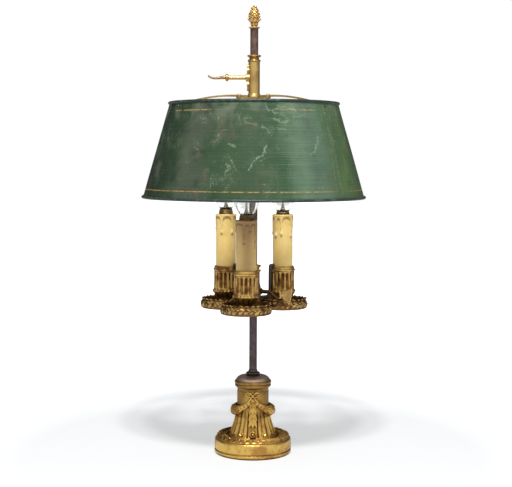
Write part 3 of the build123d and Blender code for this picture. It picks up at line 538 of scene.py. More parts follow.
def stroke_mask(strokes):
    """All strokes as one mask. Each has two (degrees, mm) ends, a width and how broken it is."""
    mask = None
    for first, last, width, broken in strokes:
        ends = [(degrees * mm_per_degree, level, 0) for degrees, level in (first, last)]
        stroke = g.add("ShaderNodeGroup", {"Spot": bent_spot, "From": ends[0], "To": ends[1],
                                           "Width": width, "Broken": broken}, node_tree=scratch_group)
        drawn = stroke.outputs["Mask"]
        mask = drawn if mask is None else g.either(mask, drawn)
    return mask


hair = g.noise(g.stretch(spot, (1, 0.6, 1)), 0.035, detail=5, roughness=0.62, distortion=1.2)
hairline = g.times(g.near(hair, 0.5, 0.0045), g.span(cloud, 0.46, 0.62, 0.0, 0.9))
worn = g.either(stroke_mask(scratches), hairline)
tone = g.mix(g.times(worn, 0.72), tone, screen(146, 164, 138))
tone = g.mix(g.times(stroke_mask(rust_strokes), 0.8), tone, screen(128, 108, 86))
print(len(scratches), "scratches,", len(rust_strokes), "rust strokes")

# %% Gold lines
gold = screen(176, 140, 76)
seam_at = 52              # the lines break off near the seam
line_half = 0.85
bottom_line, top_line = (373.4, 0.38, 0.55), (480.6, 0.42, 0.54)      # height, then how worn
specks = g.noise(g.stretch(spot, (1, 3, 1)), 0.16, detail=4, roughness=0.7)
left_stretch = g.times(g.span(bearing, -62, -58), g.span(bearing, -26, -30))
right_stretch = g.times(g.span(bearing, 14, 19), g.span(bearing, 44, 40))
left_over = g.plus(0.12, g.times(g.either(left_stretch, right_stretch), 0.88))
from_seam = g.math("ABSOLUTE", g.minus(bearing, seam_at))
for level, low, high in (bottom_line, top_line):
    line = g.times(g.span(g.near(height, level, line_half), 0.0, 0.5), g.span(specks, low, high))
    line = g.times(line, g.span(from_seam, 1.0, 14))
    if level == top_line[0]:
        line = g.times(line, left_over)
    tone = g.mix(g.times(line, 0.85), tone, gold)
g.fill(inputs, {
    "Base Color": tone, "Specular IOR Level": 0.28,
    "Roughness": g.span(g.plus(cloud, g.times(worn, 0.3)), 0.35, 0.85, 0.46, 0.66),
    "Normal": g.bump(g.plus(brushed, g.times(worn, -0.6)), 0.00009)})
print("shade paint ready:", len(shade_green.node_tree.nodes), "nodes")

# %% [markdown]
# ## Dressing the CAD nodes
# Most CAD nodes already have their true shape. Each one only needs its finish, so we clear
# its slots and give it one material.

# %% Dress the nodes
def three(kind):
    """The names of a piece that each of the three lights has."""
    return [kind + side for side in ("front", "left", "right")]


finish_of = {
    gilt: ["plinth", "plinth_wreath", "base_column", "column_garlands", "finial", "finial_dish"],
    gilt_cup: three("cup_") + ["sleeve_collar"],
    gilt_ground: ["candle_tray", "lower_key"],
    gilt_dark: ["column_cap", "centre_sleeve"],
    brass: ["carrier_sleeve", "carrier_collar", "carrier_boss", "upper_key", "spider_hub", "arm_left",
            "arm_right", "arm_back", "arm_rivets"],
    brass_raw: ["tie_washer", "tie_nut", "tray_liner", "carrier_liner", "candle_nipples", "nipple_nuts"],
    stem_patina: ["stem"],
    blackened: ["stem_collar"],
    holder_brown: three("holder_"),
    alloy: ["bulb_caps"],
    wire: ["bulb_mounts"],
    wax: three("tube_"),
    glass: three("bulb_"),
    flex: three("lead_"),
    bush_black: ["cord_bush"],
    baize: ["base_pad"],
    enamel: ["shade_top_rim", "shade_bottom_rim", "shade_screws"],
    shade_green: ["shade"],
}
for finish, names in finish_of.items():
    for name in names:
        slots = nodes[name].data.materials
        slots.clear()
        slots.append(finish)
print("dressed", sum(len(names) for names in finish_of.values()), "of", len(nodes), "nodes")

# %% [markdown]
# ## Helpers for shapes
# A turned or cast piece starts as a profile of radius and height, which is spun about the
# lamp's axis. Relief is then carved into the fine skin: every point moves in or out by a
# depth that depends on its bearing and its height. Leaves, berries and scales are small
# closed forms that are stamped again and again. Lengths are in millimetres here, and
# bearings are degrees about the stem, with the front at 270.

# %% Outlines
mm = 0.001
front = 270.0
light_bearings = {"front": 258.0, "left": 147.0, "right": 28.0}
light_circle = 47.2       # from the stem's axis to a light's axis
stem_bore = 5.65          # the hole that the stem goes through


def profile(start, *steps, bend_points=7):
    """Points along an outline. A step is a point, or a (middle, end) pair for a bend."""
    points = [start]
    for step in steps:
        if not isinstance(step[0], tuple):
            points.append(step)
            continue
        first, (middle, last) = points[-1], step
        for place in range(1, bend_points + 1):
            t = place / bend_points
            shares = ((1 - t) * (1 - 2 * t), 4 * t * (1 - t), t * (2 * t - 1))
            points.append(tuple(shares[0] * a + shares[1] * b + shares[2] * c
                                for a, b, c in zip(first, middle, last)))
    return points


def finer(points, gap):
    """The same outline with no two points further apart than the gap."""
    filled = [points[0]]
    for before, after in zip(points, points[1:]):
        count = max(1, math.ceil(math.dist(before, after) / gap))
        filled += [tuple(b + (a - b) * place / count for b, a in zip(before, after))
                   for place in range(1, count + 1)]
    return filled


def spun(points, steps):
    """A closed skin from an outline that starts and ends on the axis, or ends where it starts."""
    bm = bmesh.new()
    corners = [bm.verts.new((radius * mm, 0, height * mm)) for radius, height in points]
    edges = [bm.edges.new(pair) for pair in zip(corners, corners[1:])]
    bmesh.ops.spin(bm, geom=corners + edges, cent=(0, 0, 0), axis=(0, 0, 1), angle=math.tau,
                   steps=steps, use_merge=True)
    bmesh.ops.remove_doubles(bm, verts=bm.verts, dist=1e-7)
    bmesh.ops.recalc_face_normals(bm, faces=bm.faces)
    return bm


print("outline helpers ready")

# %% Relief
def clamp(value):
    return min(1.0, max(0.0, value))


def hill(distance, width):
    """1 in the middle and 0 far away, with soft sides."""
    return math.exp(-(distance / width) ** 2)


def around(first, second):
    """Degrees from the second bearing to the first, the shorter way."""
    return (first - second + 180) % 360 - 180


def from_nearest(bearing, count):
    """Degrees from the nearest of evenly spaced bearings, one of them at the front."""
    step = 360 / count
    return (bearing - front + step / 2) % step - step / 2


def off_middle(bearing, count):
    """0 at the nearest of those bearings, and 1 halfway to the next."""
    return abs(from_nearest(bearing, count)) * count / 180


def polar(vert):
    """A point's bearing in degrees, and its height and radius in mm."""
    x, y, z = vert.co
    return math.degrees(math.atan2(y, x)), z / mm, math.hypot(x, y) / mm


def push_out(vert, push):
    """Moves a point away from the axis by a push in mm."""
    x, y, z = vert.co
    share = 1 + push * mm / math.hypot(x, y)
    vert.co = (x * share, y * share, z)


def carve(bm, push_at):
    """Moves every point out by push_at(bearing, height, radius)."""
    for vert in bm.verts:
        spot = polar(vert)
        if spot[2] > 0.001:
            push_out(vert, push_at(*spot))


def mark_hollows_and_shade(bm, depth_at):
    """Writes depth_at(bearing, height, radius) in the attribute that the patina reads, which holds carved
    hollows and painted shade.
    """
    hollow_and_shade = bm.verts.layers.float.new("hollow_and_shade")
    for vert in bm.verts:
        vert[hollow_and_shade] = min(1.0, depth_at(*polar(vert)))


print("relief helpers ready")

# %% Small forms
def stretched(x, y, z):
    return Matrix.Diagonal((x, y, z, 1))


def round_about(bearing, radius, height):
    """A point and the outward, sideways and upward directions at a bearing."""
    angle = math.radians(bearing)
    out = Vector((math.cos(angle), math.sin(angle), 0))
    side = Vector((-math.sin(angle), math.cos(angle), 0))
    return out * radius + Vector((0, 0, height)), out, side, Vector((0, 0, 1))


def set_down(place, along, out):
    """A matrix that puts a form's middle at a place, its +X along and its +Z outwards."""
    out = out.normalized()
    along = (along - out * along.dot(out)).normalized()
    matrix = Matrix((along, out.cross(along), out)).transposed().to_4x4()
    matrix.translation = place * mm
    return matrix


def stamp(bm, form, matrix):
    """Adds one copy of a small form."""
    placed = form.copy()
    placed.transform(matrix)
    bm.from_mesh(placed)
    bpy.data.meshes.remove(placed)


def lay(bm, form, place, along, normal, scale=(1, 1, 1), centre=Vector()):
    """Stamps a form at a bearing, radius and height. Its directions are out, side and up parts."""
    spot, *axes = round_about(*place)
    along, normal = (sum((axis * part for axis, part in zip(axes, parts)), Vector())
                     for parts in (along, normal))
    stamp(bm, form, set_down(centre + spot, along, normal) @ stretched(*scale))


def as_form(bm, name):
    """Turns a bmesh into a mesh that can be stamped."""
    form = bpy.data.meshes.new(name)
    bm.to_mesh(form)
    bm.free()
    return form


def leaf_form(length, width, thickness, taper=0.5, curl=0.0):
    """A closed leaf along +X: pointed in front, grooved along its middle, with a curled tip."""
    bm = bmesh.new()
    bmesh.ops.create_uvsphere(bm, u_segments=8, v_segments=6, radius=1.0)
    for vert in bm.verts:
        across, up, along = vert.co
        groove = 0.6 if abs(across) < 0.1 and up > 0 else 1.0
        vert.co = Vector((along * length / 2, across * width / 2 * (1 - taper * along),
                          up * groove * thickness + curl * ((along + 1) / 2) ** 2)) * mm
    bmesh.ops.recalc_face_normals(bm, faces=bm.faces)
    return as_form(bm, "leaf")


def bead_form(radius):
    """A small round berry."""
    bm = bmesh.new()
    bmesh.ops.create_uvsphere(bm, u_segments=8, v_segments=5, radius=radius * mm)
    return as_form(bm, "bead")


print("form helpers ready")

# %% Finished pieces
def move_to_light(bm, bearing):
    """Moves a piece from the stem's axis to a light's axis."""
    middle, *_ = round_about(bearing, light_circle, 0)
    bmesh.ops.translate(bm, vec=middle * mm, verts=bm.verts)


def finish_piece(bm, name, body, materials, stands_for=(), angle=38):
    """Turns a bmesh into a named piece that rides a body."""
    mesh = as_form(bm, name)
    packed_normals = mesh.attributes.get("custom_normal")
    if packed_normals:
        mesh.attributes.remove(packed_normals)
    mesh.shade_smooth()
    mesh.set_sharp_from_angle(angle=math.radians(angle))
    for material in materials:
        mesh.materials.append(material)
    piece = bpy.data.objects.new(name, mesh)
    bpy.context.scene.collection.objects.link(piece)
    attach(piece, body)
    if stands_for:
        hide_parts(*stands_for)
    print(name, len(mesh.polygons), "faces")


print("shape helpers ready")

# %% [markdown]
# ## Turned pieces
# The turned CAD pieces keep their exact shape. A copy of each is merged along its seams and
# shaded smoothly, so no line shows where the CAD surface closes on itself. The lower key
# ends where its shell begins.

# %% Smooth copies
key_bearing = 321.0
shell_start = 52.0
turned_nodes = {
    "base": [("column_cap", "dark_gilt", gilt_cap), ("stem_collar", "dark_steel", blackened),
             ("stem", "stem_brown", stem_patina), ("finial_dish", "gilt", gilt)],
    "candelabra": [("centre_sleeve", "dark_gilt", gilt_dark), ("sleeve_collar", "dark_gilt", gilt_cup)]
    + [(name, "holder", holder_brown) for name in three("holder_")],
    "shade_carrier": [("carrier_sleeve", "brass_plain", brass_sleeve),
                      ("carrier_collar", "brass_plain", brass_raw), ("carrier_boss", "brass_plain", brass),
                      ("spider_hub", "brass_plain", brass), ("shade_top_rim", "shade_rim", enamel),
                      ("shade_bottom_rim", "shade_rim", enamel)],
    "upper_key": [("upper_key", "brass_plain", brass)],
    "lower_key": [("lower_key", "gilt", gilt_ground)],
}
for body, copies in turned_nodes.items():
    for name, slot, material in copies:
        bm = bmesh.new()
        bm.from_mesh(nodes[name].data)
        bmesh.ops.transform(bm, matrix=nodes[name].matrix_world, verts=bm.verts)
        bmesh.ops.remove_doubles(bm, verts=bm.verts, dist=2e-6)
        if name == "lower_key":
            end, out, *_ = round_about(key_bearing, shell_start, 0)
            bmesh.ops.bisect_plane(bm, geom=bm.verts[:] + bm.edges[:] + bm.faces[:], plane_co=end * mm,
                                   plane_no=out, clear_outer=True)
            bmesh.ops.holes_fill(bm, edges=bm.edges, sides=0)
        bmesh.ops.recalc_face_normals(bm, faces=bm.faces)
        finish_piece(bm, name + "_smooth", body, [material], [name], angle=34)

# %% [markdown]
# ## The shade
# The shade is one sheet of metal rolled to a cone. Its lap shows as a low step at the
# right, and hands have left shallow dents. The sheet gets its wall with solidify, and the
# faces that look inwards take the pale enamel.

# %% Shade
shade_top_radius, shade_bottom_radius = 117.8, 155.0
shade_top, shade_bottom = 492.7, 362.4
sheet_thickness = 0.8
seam_bearing = front + seam_at
lap_low, lap_high = 364.5, 483


def sheet_push(bearing, height, radius):
    angle = math.radians(bearing)
    spot = Vector((math.cos(angle) * 2.2, math.sin(angle) * 2.2, height / 62))
    edge = clamp(min(shade_top - height, height - shade_bottom) / 14)
    dent = 0.55 * noise.noise(spot) * edge
    from_seam = abs(around(bearing, seam_bearing)) * radius * math.pi / 180
    lap = 0.7 * clamp((3.6 - from_seam) / 0.5) if lap_low < height < lap_high else 0.0
    return dent + lap


cone = [(shade_bottom_radius, shade_bottom), (shade_top_radius, shade_top)]
bm = spun(finer(cone, 5.5), 720)
carve(bm, sheet_push)
bmesh.ops.recalc_face_normals(bm, faces=bm.faces)
bmesh.ops.solidify(bm, geom=bm.faces[:], thickness=sheet_thickness * mm)
bmesh.ops.recalc_face_normals(bm, faces=bm.faces)
for face in bm.faces:
    middle = face.calc_center_median()
    face.material_index = 1 if face.normal.dot(Vector((middle.x, middle.y, 0))) < 0 else 0
finish_piece(bm, "shade_sheet", "shade_carrier", [shade_green, shade_inside], ["shade"],
             angle=60)

# %% [markdown]
# ## Wax sleeves
# Each sleeve has a thick coat of wax round its top, with a scalloped lower edge. Runs hang
# from it and end in drops. The coat and the runs are carved. Attributes remember where
# the painted shadow lies below the coat and under each drop, where soot and painted shade
# darken the front sleeve, and where the drops take a painted highlight, so the material
# can colour them.

# %% Candle sleeves
sleeve_bore, wax_radius = 12.9, 14.2
wax_low = 232.1
wax_tops = {"front": 332.0, "left": 336.8, "right": 336.8}
wax_runs = {           # degrees from the front, length below the top, drop radius
    "left": ((-92, 21, 1.4), (-24, 24.5, 1.7), (40, 24.5, 1.8), (98, 15, 1.5), (150, 27, 1.6),
             (-150, 19, 1.5)),
    "front": ((-12, 29, 1.1), (22, 13, 0.8), (62, 26, 1.6), (118, 19, 1.5), (176, 25, 1.6),
              (-78, 15, 1.4)),
    "right": ((-90, 27, 1.4), (-45, 28.5, 1.8), (-10, 26.5, 1.8), (52, 28.5, 1.6), (104, 17, 1.5),
              (168, 23, 1.6)),
}
# How strong the painted highlight on the drops is for each sleeve.
drop_highlight = {"front": 0.25, "left": 1.0, "right": 1.0}


def wax_at(runs, edge, angle, depth):
    """How far the wax stands out, the painted highlight on a drop, and the painted shadow below the coat and
    the drops, at one point.
    """
    push = pale = painted_shadow = 0.0
    for place, length, drop in runs:
        gap = around(angle, place) * wax_radius * math.pi / 180
        below = depth - length
        edge += (length - 4.5) * hill(gap, 1.25) + 3.2 * hill(gap, 3.6)
        push = max(push, drop * 1.05 * hill(gap, 0.85 * drop) * hill(below, 1.35 * drop))
        pale = max(pale, hill(gap, 1.1 * drop) * hill(below, 1.5 * drop))
        # Painted shadow under each drop.
        painted_shadow = max(painted_shadow, hill(gap, 1.7) * hill(below - 2.2 * drop, 1.6))
    coat = clamp((edge - depth) / 1.1)
    # Painted shadow just below the coat's edge.
    shadow_under_coat = hill(edge - depth + 1.2, 1.6) * (0.35 + 0.65 * hill(depth - 8, 10))
    return max(push, 0.75 * coat * coat * (3 - 2 * coat)), pale, max(painted_shadow, shadow_under_coat)


def soot_and_shade_at(angle, depth):
    """The front sleeve is sooty all over, more near its top and in two streaks, and has painted shade down
    its middle.
    """
    streak = max(hill(around(angle, -14), 5.0) * hill(max(0, depth - 22), 9), hill(around(angle, 56), 6.0))
    general = 0.3 + 0.45 * hill(around(angle, 6), 34) + 0.45 * hill(depth, 26)
    return min(1.0, general + 0.4 * streak * (depth < 40))


for name, bearing in light_bearings.items():
    top = wax_tops[name]
    points = profile((sleeve_bore, wax_low), (wax_radius, wax_low), (wax_radius, top - 3.0),
                     ((wax_radius + 0.35, top - 1.4), (wax_radius - 0.5, top)), (sleeve_bore, top),
                     bend_points=5)
    bm = spun(finer(points, 1.1) + [(sleeve_bore, wax_low)], 132)
    painted_shadow, soot_and_shade, drop = [bm.verts.layers.float.new(label) for label in ("painted_shadow", "soot_and_shade", "drop")]
    for vert in bm.verts:
        bearing_here, height, radius = polar(vert)
        if radius < sleeve_bore + 0.4:
            continue
        x, y, z = vert.co
        angle, depth = bearing_here - front, top - height
        edge = 3.6 + noise.noise(Vector((x, y, 0)) * 90)
        push, pale, vert[painted_shadow] = wax_at(wax_runs[name], edge, angle, depth)
        vert[drop] = pale * drop_highlight[name]
        if name == "front":
            vert[soot_and_shade] = soot_and_shade_at(angle, depth)
        push_out(vert, push + 0.12 * noise.noise(Vector((x, y, z * 0.35)) * 120))
    move_to_light(bm, bearing)
    finish_piece(bm, "wax_" + name, "candelabra", [wax], ["tube_" + name], angle=60)

# %% [markdown]
# ## Bulbs
# Each bulb is a thin skin of clear glass with an outside and an inside, so that it bends
# light only a little. The glass is spun with more steps than the CAD solid has.

# %% Bulbs
bulb_lows = {"front": 339.1, "left": 344.7, "right": 341.1}
glass_wall = 0.9


def bulb_outline(low, inset):
    wide, neck = 17.6 - inset, 8.6 - inset
    return profile((neck, low + inset), ((neck + 3.4, low + 4.2), (wide - 1.6, low + 12.5)),
                   ((wide, low + 20.5), (wide - 1.8, low + 32.0)),
                   ((wide - 6.8, low + 49.0), (3.2, low + 64.0 - inset)),
                   ((2.4, low + 69.6 - inset), (0, low + 70.0 - inset)), bend_points=12)


for name, bearing in light_bearings.items():
    low = bulb_lows[name]
    bm, inner = (spun([(0, low + inset)] + bulb_outline(low, inset), 72) for inset in (0, glass_wall))
    bmesh.ops.reverse_faces(inner, faces=inner.faces)
    stamp(bm, as_form(inner, "inside"), Matrix())
    move_to_light(bm, bearing)
    finish_piece(bm, "glass_" + name, "candelabra", [glass], ["bulb_" + name], angle=70)

# %% [markdown]
# ## The plinth
# The plinth is turned: a round foot moulding, a groove and a straight side. Wear and old
# knocks make its skin a little uneven.

# %% Plinth
foot = 21.5               # the plinth's flat top, where the column stands
points = profile((stem_bore, 0), (52.6, 0), ((53.9, 2.4), (54.4, 4.8)), (52.9, 6), (52.9, 6.9), (54.2, 7.6),
                 (54.2, 18.3), ((53.6, 20.6), (52.0, foot)), (stem_bore, foot))


def plinth_push(bearing, height, radius):
    if radius < 51.8:
        return 0.0
    angle = math.radians(bearing)
    spot = Vector((math.cos(angle) * 9, math.sin(angle) * 9, height * 0.28))
    turned = 0.22 * hill(height - 17.4, 0.45) + 0.12 * hill(height - 9.4, 0.5)
    return 0.24 * noise.noise(spot) + 0.16 * noise.noise(spot * 3.1) - turned - 0.25


bm = spun(finer(points, 1.3) + [(stem_bore, 0)], 288)
carve(bm, plinth_push)
finish_piece(bm, "plinth_turned", "base", [gilt], ["plinth"])

# %% [markdown]
# ## The column
# Double ridges run down the flare and meet in loops at its foot, with a small boss in each
# loop. A round rosette covers the front and the back one.

# %% Column
neck, ridge_top, drum_top = 50.5, 64, 88.5
flare_radius, drum_radius = 32.8, 22.3
lobe_count, petal_count = 12, 12
points = profile((flare_radius, foot), ((34.0, foot + 1.8), (33.6, foot + 3.6)), (32.4, foot + 4.6),
                 (32.2, foot + 5.0), ((29.6, foot + 11.0), (27.4, foot + 17.0)),
                 ((25.2, foot + 23.5), (24.0, neck)), ((23.2, neck + 4.0), (drum_radius, neck + 9.0)),
                 (drum_radius, drum_top))


def column_push(bearing, height, radius):
    if radius < 22.0 or not foot + 4.9 < height < ridge_top:
        return 0.0
    lobe = from_nearest(bearing, lobe_count)
    across = math.radians(lobe) * radius
    loop = 3.5 * radius / 31
    low = foot + 6.6 + loop
    gap = abs(across) - loop if height > low else math.hypot(across, height - low) - loop
    boss = 1.5 * hill(math.hypot(across, height - low + 0.3), 1.5)
    grooves = 1.5 * hill(180 / lobe_count - abs(lobe), 2.2) + 0.5 * hill(across, 1.2)
    return boss + (1.45 * hill(gap, 0.85) - grooves) * clamp((ridge_top - height) / 12)


def column_hollow_and_shade(bearing, height, radius):
    # The drum gets painted shade, heaviest away from the front, and the flare gets a little painted shade
    # all over.
    shaded = 0.62 * (1 - 0.6 * hill(around(bearing, front), 34)) if height > 52 else 0.1
    return 0.8 * max(0.0, -column_push(bearing, height, radius) / 1.4) + shaded


skin = finer([(stem_bore, foot), (flare_radius, foot)], 6) + finer(points, 0.75)[1:]
skin += finer([(drum_radius, drum_top), (stem_bore, drum_top)], 6)[1:] + [(stem_bore, foot)]
bm = spun(skin, 360)
mark_hollows_and_shade(bm, column_hollow_and_shade)
carve(bm, column_push)
centre_bead, petal_bead = bead_form(2.3), bead_form(1.25)
for bearing in (front, front + 180):
    spot, out, side, up = round_about(bearing, 33.2, foot + 9.6)
    tilted = (out + up * 0.38).normalized()
    disc = bmesh.ops.create_cone(bm, cap_ends=True, segments=32, radius1=4.9 * mm, radius2=4.3 * mm,
                                 depth=2.6 * mm)
    bmesh.ops.transform(bm, matrix=set_down(spot, side, tilted), verts=disc["verts"])
    for petal in range(petal_count):
        angle = math.tau * petal / petal_count
        spoke = side * math.cos(angle) + tilted.cross(side) * math.sin(angle)
        stamp(bm, petal_bead, set_down(spot + spoke * 3.5 + tilted * 1.4, spoke, tilted))
    stamp(bm, centre_bead, set_down(spot + tilted * 1.4, side, tilted))
finish_piece(bm, "column_carved", "base", [gilt_column], ["base_column"])

# %% [markdown]
# ## Garlands
# A ribbon bow sits on the front and the back of the drum. From each bow hang two ribbon
# ends and a chain of husks, and a swag of laurel runs from one bow round to the other.

# %% Swags and ribbons
bow_height = 83.0
bow_radius = 23.2
unit_bead = bead_form(1.0)


def swag_point(start, share):
    """The middle of a swag, and how full it is there, at a share of its way round."""
    fullness = 1 - (2 * share - 1) ** 2
    swell = 0.3 + 0.7 * max(0.0, math.sin(math.pi * share)) ** 1.5
    return start + 180 * share, bow_height - 3 - 19.5 * fullness ** 0.8, swell


def swag_frame(start, share):
    """A point in the swag with its directions along, outwards and across."""
    bearing, height, swell = swag_point(start, share)
    radius = drum_radius + 3.3 * swell
    spot, out, *_ = round_about(bearing, radius, height)
    ahead_bearing, ahead_height, _ = swag_point(start, share + 0.01)
    ahead, *_ = round_about(ahead_bearing, radius, ahead_height)
    along = (ahead - spot).normalized()
    return spot, along, out, out.cross(along), swell


def beaded(bm, points, out, size, flat=1.0):
    """A band made of overlapping beads along a row of points."""
    for before, after in zip(points, points[1:]):
        scale = stretched((after - before).length * 0.75, size, size * flat)
        stamp(bm, unit_bead, set_down((before + after) / 2, after - before, out) @ scale)


def bow_loop(middle, out, side, up):
    """Points round one loop of a bow, which bends back with the drum."""
    points = []
    for step in range(15):
        angle = math.tau * step / 14
        away = 4.9 - 4.1 * math.cos(angle)
        rise = 3.0 * math.sin(angle) + 0.5 + 0.25 * away
        lift = 0.5 + 0.5 * math.sin(angle) - 0.04 * away ** 2
        points.append(middle + side * away + up * rise + out * lift)
    return points


def ribbon_end(start, sign):
    """Points down one waving end of a ribbon."""
    points = []
    for step in range(9):
        far = step / 8
        height = bow_height - 1.5 - 17 * far - 1.2 * math.sin(6.5 * far)
        radius = bow_radius + 1.6 * far + 0.5 * math.sin(7 * far)
        points.append(round_about(start + sign * (4 + 34 * far), radius, height)[0])
    return points


print("swag and ribbon helpers ready")

# %% Garlands
dice = random.Random(5)
laurel = leaf_form(7.2, 4.2, 1.5, taper=0.45, curl=2.2)
husk = leaf_form(9.0, 4.4, 1.3, taper=0.5, curl=1.4)
berry = bead_form(1.1)
husk_chain = [(77.0, 23.6, 0.7), (70.5, 24.0, 1.0), (63.0, 24.6, 1.25),      # height, radius, size
              (54.5, 25.2, 1.4), (46.0, 27.0, 1.45)]

bm = bmesh.new()
for start in (front, front + 180):
    for station in range(17):
        share = 0.08 + 0.84 * station / 16
        spot, along, out, across, swell = swag_frame(start, share)
        stamp(bm, unit_bead, set_down(spot, along, out) @ stretched(3.4, 5.4 * swell, 3.9 * swell))
        forwards = along if share < 0.5 else -along
        for place in range(6):
            turn = math.radians(-90 + 36 * (place + 0.5 * (station % 2)))
            normal = out * math.cos(turn) * 1.5 + across * math.sin(turn)
            surface = spot + (out * math.cos(turn) * 3.9 + across * math.sin(turn) * 5.3) * swell
            lifted = forwards + normal.normalized() * dice.uniform(0.4, 0.9)
            size = (0.45 + 0.55 * swell) * dice.uniform(0.8, 1.15)
            stamp(bm, laurel, set_down(surface, lifted, normal) @ stretched(size, size, size))
        if station % 2:
            for turn in (-0.5, 0.6):
                surface = spot + (out * math.cos(turn) * 4.9 + across * math.sin(turn) * 5.9) * swell
                stamp(bm, berry, set_down(surface, along, out))
    middle, out, side, up = round_about(start, bow_radius, bow_height)
    stamp(bm, unit_bead, set_down(middle + out * 0.9, side, out) @ stretched(2.3, 2.1, 2.0))
    for sign in (-1, 1):
        beaded(bm, bow_loop(middle, out, side * sign, up), out, 1.3)
        beaded(bm, ribbon_end(start, sign), out, 1.35, 0.75)
    for height, radius, size in husk_chain:
        spot = round_about(start, radius, height)[0]
        scale = stretched(size, size, size)
        lean = 0.0 if height > neck else 0.16
        stamp(bm, husk, set_down(spot + out * 0.5, -up + out * (0.1 + lean), out + up * lean) @ scale)
        for aside in (-side, side):
            hanging = -up + aside * 0.5 + out * lean
            stamp(bm, husk, set_down(spot + aside * 1.8 * size, hanging, out + aside * 0.5) @ scale)
        stamp(bm, berry, set_down(spot + (out * 1.4 + up * 3.4) * size, side, out) @ scale)
finish_piece(bm, "garlands_leafy", "base", [gilt_column], ["column_garlands"])

# %% [markdown]
# ## The wreath on the plinth
# Laurel leaves overlap all the way round in three rows, with berries between the
# outer two.

# %% Wreath leaves
bed = profile((36.5, foot), (51.0, foot), (51.0, foot + 1.2), ((46.5, foot + 3.9), (37.7, foot + 1.8)),
              (36.5, foot + 1.6)) + [(36.5, foot)]
laurel = leaf_form(9.5, 5.0, 1.6, taper=0.4, curl=1.8)
berry = bead_form(1.5)
wreath_count = 34
# A row's turn in degrees, radius and rise, then where its leaves point and face, as out,
# side and up parts.
wreath_rows = [(0, 48.4, 3.6, (0.55, 1, 0), (0.8, 0, 1)), (4, 44.4, 4.1, (-0.3, 1, 0.15), (0.1, 0, 1)),
               (7, 40.6, 2.8, (-0.5, 1, 0), (-0.5, 0, 1))]

bm = spun(bed, 160)
for place in range(wreath_count):
    bearing = place * 360 / wreath_count
    for turn, radius, rise, along, normal in wreath_rows:
        lay(bm, laurel, (bearing + turn, radius, foot + rise), along, normal)
    if place % 2:
        lay(bm, berry, (bearing + 3, 46.4, foot + 4.4), (0, 1, 0), (0, 0, 1))
finish_piece(bm, "wreath_leaves", "base", [gilt_wreath], ["plinth_wreath"])

# %% [markdown]
# ## Candle cups
# Sixteen flutes with round tops run down each cup, and a raised tongue fills the lower half
# of each flute. A ring of leaf tips and a calyx of narrow leaves carry the cup.

# %% Candle cups
cup_low, cup_height = 208.1, 54.7
cup_bore, nipple_bore, cup_floor = 14.25, 5.05, 24
calyx_leaves, leaf_tips, flute_count = 12, 20, 16
calyx_top, tips_top = 16.2, 22.6
flute_low, tongue_top, flute_high, lip_top = 24.8, 37, 44.3, 47.4
cup_outside = profile((nipple_bore, 0), (9.6, 0), ((10.1, 1.2), (8.8, 2.4)), ((7.0, 4.6), (8.0, 7.0)),
                      ((12.8, 10.6), (15.8, 15.5)), ((18.2, 18.5), (17.0, 21.7)), (16.8, 22.5), (16.3, 34.5),
                      (16.5, 47.5), ((17.8, 49.7), (16.6, 51.3)), ((16.5, 53.3), (15.8, cup_height)),
                      (cup_bore, cup_height))
cup_inside = [(cup_bore, cup_height), (cup_bore, cup_floor), (nipple_bore, cup_floor), (nipple_bore, 0)]


def cup_push(bearing, height, radius):
    height -= cup_low
    if radius < 14.4 and height > 20 or radius < 7.2:
        return 0.0
    if height < calyx_top:
        return (0.75 - 1.7 * off_middle(bearing, calyx_leaves) ** 1.5) * clamp((height - 6.0) / 3)
    if height < tips_top:
        tip = 1 - 2.0 * off_middle(bearing, leaf_tips) ** 2
        return 0.55 * tip * min(1.0, (height - 15.2) / 1.5, (tips_top - height) / 1.2)
    across = math.radians(from_nearest(bearing, flute_count)) * radius
    beyond = max(0.0, height - flute_high, flute_low - height)
    from_path = math.hypot(across, beyond)
    flute = -1.5 * max(0.0, 1 - (from_path / 2.1) ** 2)
    lip = 0.42 * hill(from_path - 2.35, 0.55) if height < lip_top else 0.0
    tongue = 1.6 * hill(across, 0.75) * clamp((tongue_top - height) / 5) if height > flute_low - 1 else 0.0
    return flute + lip + tongue


def cup_hollow_and_shade(bearing, height, radius):
    # The band below the ring of leaf tips gets painted shade from the bulge above it.
    calyx = 0.55 if 6.5 < height - cup_low < 15.4 else 0.0
    return max(0.0, -cup_push(bearing, height, radius) / 1.15) + calyx


skin = finer(cup_outside, 0.7) + finer(cup_inside, 4)[1:]
for name, bearing in light_bearings.items():
    bm = spun([(radius, height + cup_low) for radius, height in skin], 224)
    mark_hollows_and_shade(bm, cup_hollow_and_shade)
    carve(bm, cup_push)
    move_to_light(bm, bearing)
    finish_piece(bm, "cup_carved_" + name, "candelabra", [gilt_cup], ["cup_" + name])

# %% [markdown]
# ## Leaf border of the pans
# A rope of slanting leaves and berries runs round each pan's rim, and a row of smaller
# leaves lies on the slope inside it.

